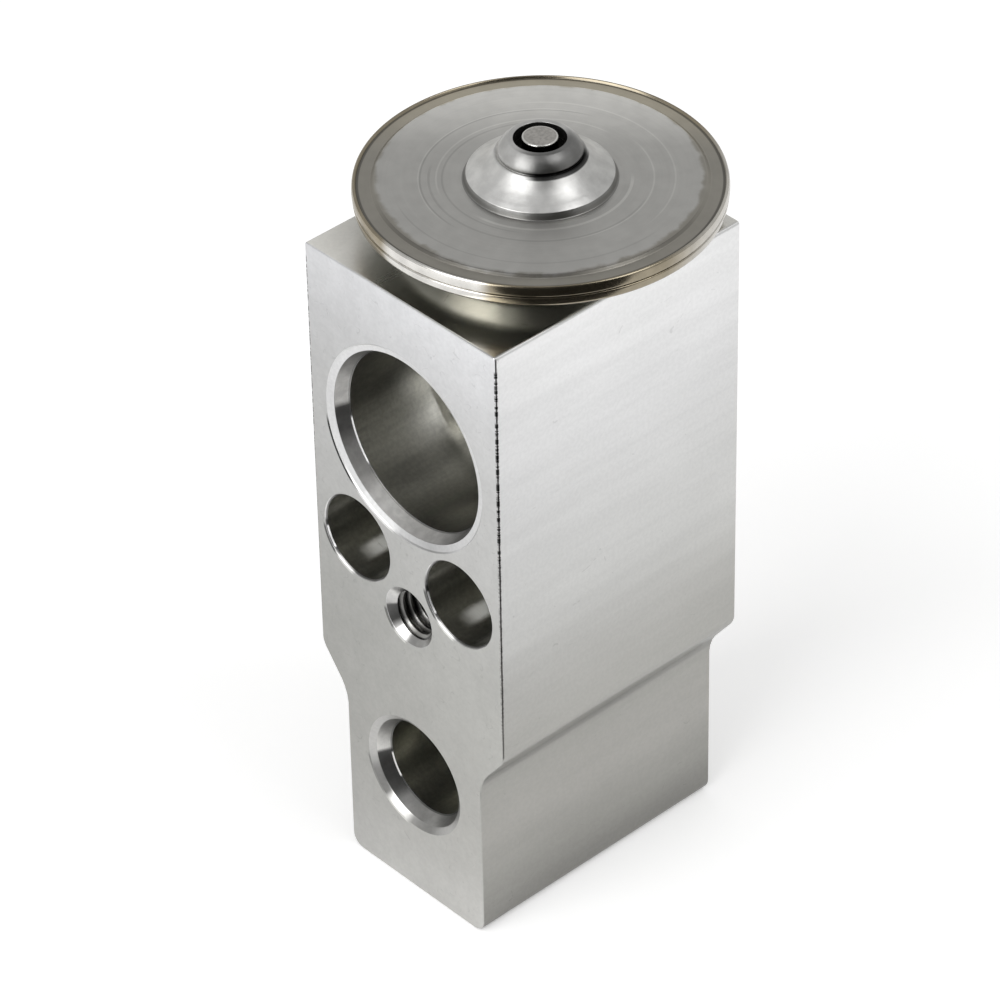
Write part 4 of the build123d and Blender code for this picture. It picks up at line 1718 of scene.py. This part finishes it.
@dataclass(frozen=True)
class SuperheatSpring:
    """Coil between the setting screw's pocket and the ball's carrier."""

    wire: float = 0.6
    mean_radius: float = 3.7
    turns: float = 5.0
    bottom: float = 7.6
    top: float = 17.19

    def build(self) -> bpy.types.Object:
        """Coil the wire, in round section, from the bottom to the top.

        Returns:
            The piece.
        """
        inner, outer = self.mean_radius - self.wire, self.mean_radius + self.wire
        square = ((inner, -1), (outer, -1), (outer, 1), (inner, 1))
        rounding = self.wire * 0.99
        section = [Corner(x, side * self.wire, rounding) for x, side in square]
        rise = self.top - self.bottom - 2 * self.wire
        place = Matrix.Translation((0.0, 0.0, self.bottom + self.wire))
        return as_object("coil_spring", coiled(section, rise / self.turns, self.turns, 48), place)


# Studio


@dataclass(frozen=True)
class Softbox:
    """One soft lamp, aimed at the valve."""

    name: str
    azimuth: float
    elevation: float
    distance: float
    width: float
    height: float
    radiance: float

    def build(self, target: Vector) -> None:
        """Hang the lamp.

        Args:
            target: Point that it is aimed at, in metres.
        """
        a, e = math.radians(self.azimuth), math.radians(self.elevation)
        back = Vector((math.sin(a) * math.cos(e), -math.cos(a) * math.cos(e), math.sin(e)))
        lamp = bpy.data.lights.new(self.name, "AREA")
        lamp.shape, lamp.size, lamp.size_y = "RECTANGLE", self.width, self.height
        lamp.energy = self.radiance * math.pi * self.width * self.height
        obj = bpy.data.objects.new(self.name, lamp)
        obj.matrix_world = facing(back, target + back * self.distance)
        bpy.context.scene.collection.objects.link(obj)


@dataclass(frozen=True)
class DarkCard:
    """Dark card that only reflections see, stood between the valve and the camera."""

    azimuth: float = 47.7
    distance: float = 0.045
    aside: float = 0.012
    width: float = 0.062
    height: float = 0.16
    tone: Colour = (0.03, 0.028, 0.024)

    def build(self) -> None:
        """Stand the card on the floor."""
        a = math.radians(self.azimuth)
        toward = Vector((math.sin(a), -math.cos(a), 0))
        right = Vector((math.cos(a), math.sin(a), 0))
        place = toward * self.distance + right * self.aside + Vector((0, 0, self.height / 2))
        bm = bmesh.new()
        bmesh.ops.create_grid(bm, x_segments=1, y_segments=1, size=0.5)
        bmesh.ops.scale(bm, vec=(self.width, self.height, 1), verts=bm.verts[:])
        card = linked("dark_card", bm)
        card.matrix_world = facing(toward, place)
        card.visible_camera = card.visible_diffuse = card.visible_shadow = False
        s = Surface("card_paper", metallic=0.0, roughness=0.9)
        s.shader.inputs["Base Color"].default_value = (*self.tone, 1)
        card.data.materials.append(s.material)


@dataclass(frozen=True)
class Studio:
    """White floor, grey room, soft lamps and a dark card."""

    floor_size: float = 6.0
    floor_colour: Colour = (0.95, 0.95, 0.95)
    floor_glow: float = 0.12
    floor_white: float = 0.3
    room: tuple[tuple[float, Colour], ...] = (
        (0.0, (0.42, 0.42, 0.41)),
        (0.25, (0.62, 0.62, 0.61)),
        (0.6, (0.55, 0.55, 0.55)),
        (1.0, (0.36, 0.36, 0.36)),
    )
    softboxes: tuple[Softbox, ...] = (
        Softbox("softbox_left", 4.0, 38.0, 1.0, 0.75, 1.0, 2.4),
        Softbox("softbox_right", 110.0, 56.0, 1.0, 0.5, 0.45, 2.2),
    )

    def build(self) -> None:
        """Build the floor, the room's light, the lamps and the card."""
        self._floor()
        self._room()
        DarkCard().build()
        for softbox in self.softboxes:
            softbox.build(Vector((0, 0, 0.04)))

    def _floor(self) -> None:
        """A white sheet under the valve, which the camera and reflections see white."""
        bm = bmesh.new()
        bmesh.ops.create_grid(bm, x_segments=1, y_segments=1, size=self.floor_size / 2)
        floor = linked("floor", bm)
        s = Surface("floor_paper", metallic=0.0, roughness=0.9)
        s.shader.inputs["Base Color"].default_value = (*self.floor_colour, 1)
        s.shader.inputs["Emission Color"].default_value = (1, 1, 1, 1)
        rays = s.add("ShaderNodeLightPath").outputs
        mirrored = s.math("MULTIPLY", rays["Is Glossy Ray"], self.floor_glow)
        seen = s.math("MULTIPLY_ADD", rays["Is Camera Ray"], self.floor_white, mirrored)
        s.feed("Emission Strength", seen)
        floor.data.materials.append(s.material)

    def _room(self) -> None:
        """A plain grey room, which the camera sees white."""
        world = bpy.data.worlds.new("room")
        bpy.context.scene.world = world
        world.use_nodes = True
        g = Graph(world.node_tree)
        way = g.add("ShaderNodeTexCoord").outputs["Generated"]
        rise = g.add("ShaderNodeSeparateXYZ", {0: way}).outputs["Z"]
        camera = g.add("ShaderNodeLightPath").outputs["Is Camera Ray"]
        colour = g.mix(camera, g.gradient(rise, self.room), (1, 1, 1))
        g.tree.links.new(colour, g.tree.nodes["Background"].inputs["Color"])


@dataclass(frozen=True)
class PhotoCamera:
    """Camera at the photograph's view."""

    place: tuple[float, float, float] = (0.32248, -0.29992, 0.38129)
    right: tuple[float, float, float] = (0.68227076, 0.730927, -0.01588506)
    up: tuple[float, float, float] = (-0.43814206, 0.42617643, 0.79145763)
    lens: float = 195.514
    sensor: float = 36.0

    def build(self) -> None:
        """Make the scene's camera."""
        data = bpy.data.cameras.new("photo_view")
        data.lens, data.sensor_width = self.lens, self.sensor
        camera = bpy.data.objects.new("photo_view", data)
        right, up = Vector(self.right), Vector(self.up)
        turn = Matrix((right, up, right.cross(up))).transposed()
        camera.matrix_world = Matrix.Translation(self.place) @ turn.to_4x4()
        bpy.context.scene.collection.objects.link(camera)
        bpy.context.scene.camera = camera


def finishes_by_slot(effects: Effects) -> dict[Slot, bpy.types.Material]:
    """Build one finish for each material slot of the record.

    Args:
        effects: The shared node groups.

    Returns:
        The finishes by slot.
    """
    return {
        Slot.BLOCK: MilledAluminium().build(effects),
        Slot.HEAD: StampedSteel().build(effects),
        Slot.PLUG: SealedPlug().build(effects),
        Slot.DIAPHRAGM: PlainMetal("foil_steel", (0.7, 0.7, 0.69), 0.15).build(effects),
        Slot.PLATE: PlainMetal("turned_steel", (0.6, 0.6, 0.59)).build(effects),
        Slot.ROD: PlainMetal("drawn_aluminium", (0.82, 0.82, 0.82)).build(effects),
        Slot.PIN: PlainMetal("ground_steel", (0.68, 0.68, 0.68), 0.16).build(effects),
        Slot.BALL: PlainMetal("polished_steel", (0.8, 0.8, 0.8), 0.08).build(effects),
        Slot.SPRING: PlainMetal("spring_wire", (0.45, 0.44, 0.42), 0.3).build(effects),
        Slot.SCREW: PlainMetal("turned_brass", (0.76, 0.6, 0.32), 0.28).build(effects),
        Slot.RUBBER: MouldedRubber().build(effects),
    }


def main() -> None:
    """Build the valve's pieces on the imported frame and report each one."""
    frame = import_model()
    bpy.context.scene.view_settings.view_transform = "Standard"
    PhotoCamera().build()
    Studio().build()
    effects = Effects.build()
    finishes = finishes_by_slot(effects)
    for part in frame["record"]["subparts"]:
        node = frame["nodes"][part["node"]]
        node.data.materials.clear()
        node.data.materials.append(finishes[Slot(part["material_slot"])])
    block = ValveBlock().build(finishes[Slot.BLOCK], effects)
    dress(block, "valve_body", Body.BLOCK)
    head = PowerHead()
    pieces = (
        (head.cover(), Slot.HEAD, "head_cover"),
        (head.base(), Slot.HEAD, "head_base"),
        (head.plug(), Slot.PLUG, "charge_plug"),
    )
    for piece, slot, node in pieces:
        piece.data.materials.append(finishes[slot])
        dress(piece, node, Body.BLOCK)
    spring = SuperheatSpring()
    coil = spring.build()
    coil.data.materials.append(finishes[Slot.SPRING])
    dress(coil, "superheat_spring")
    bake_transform(coil)


if __name__ == "__main__":
    logging.basicConfig(level=logging.INFO, format="%(name)s: %(message)s")
    main()
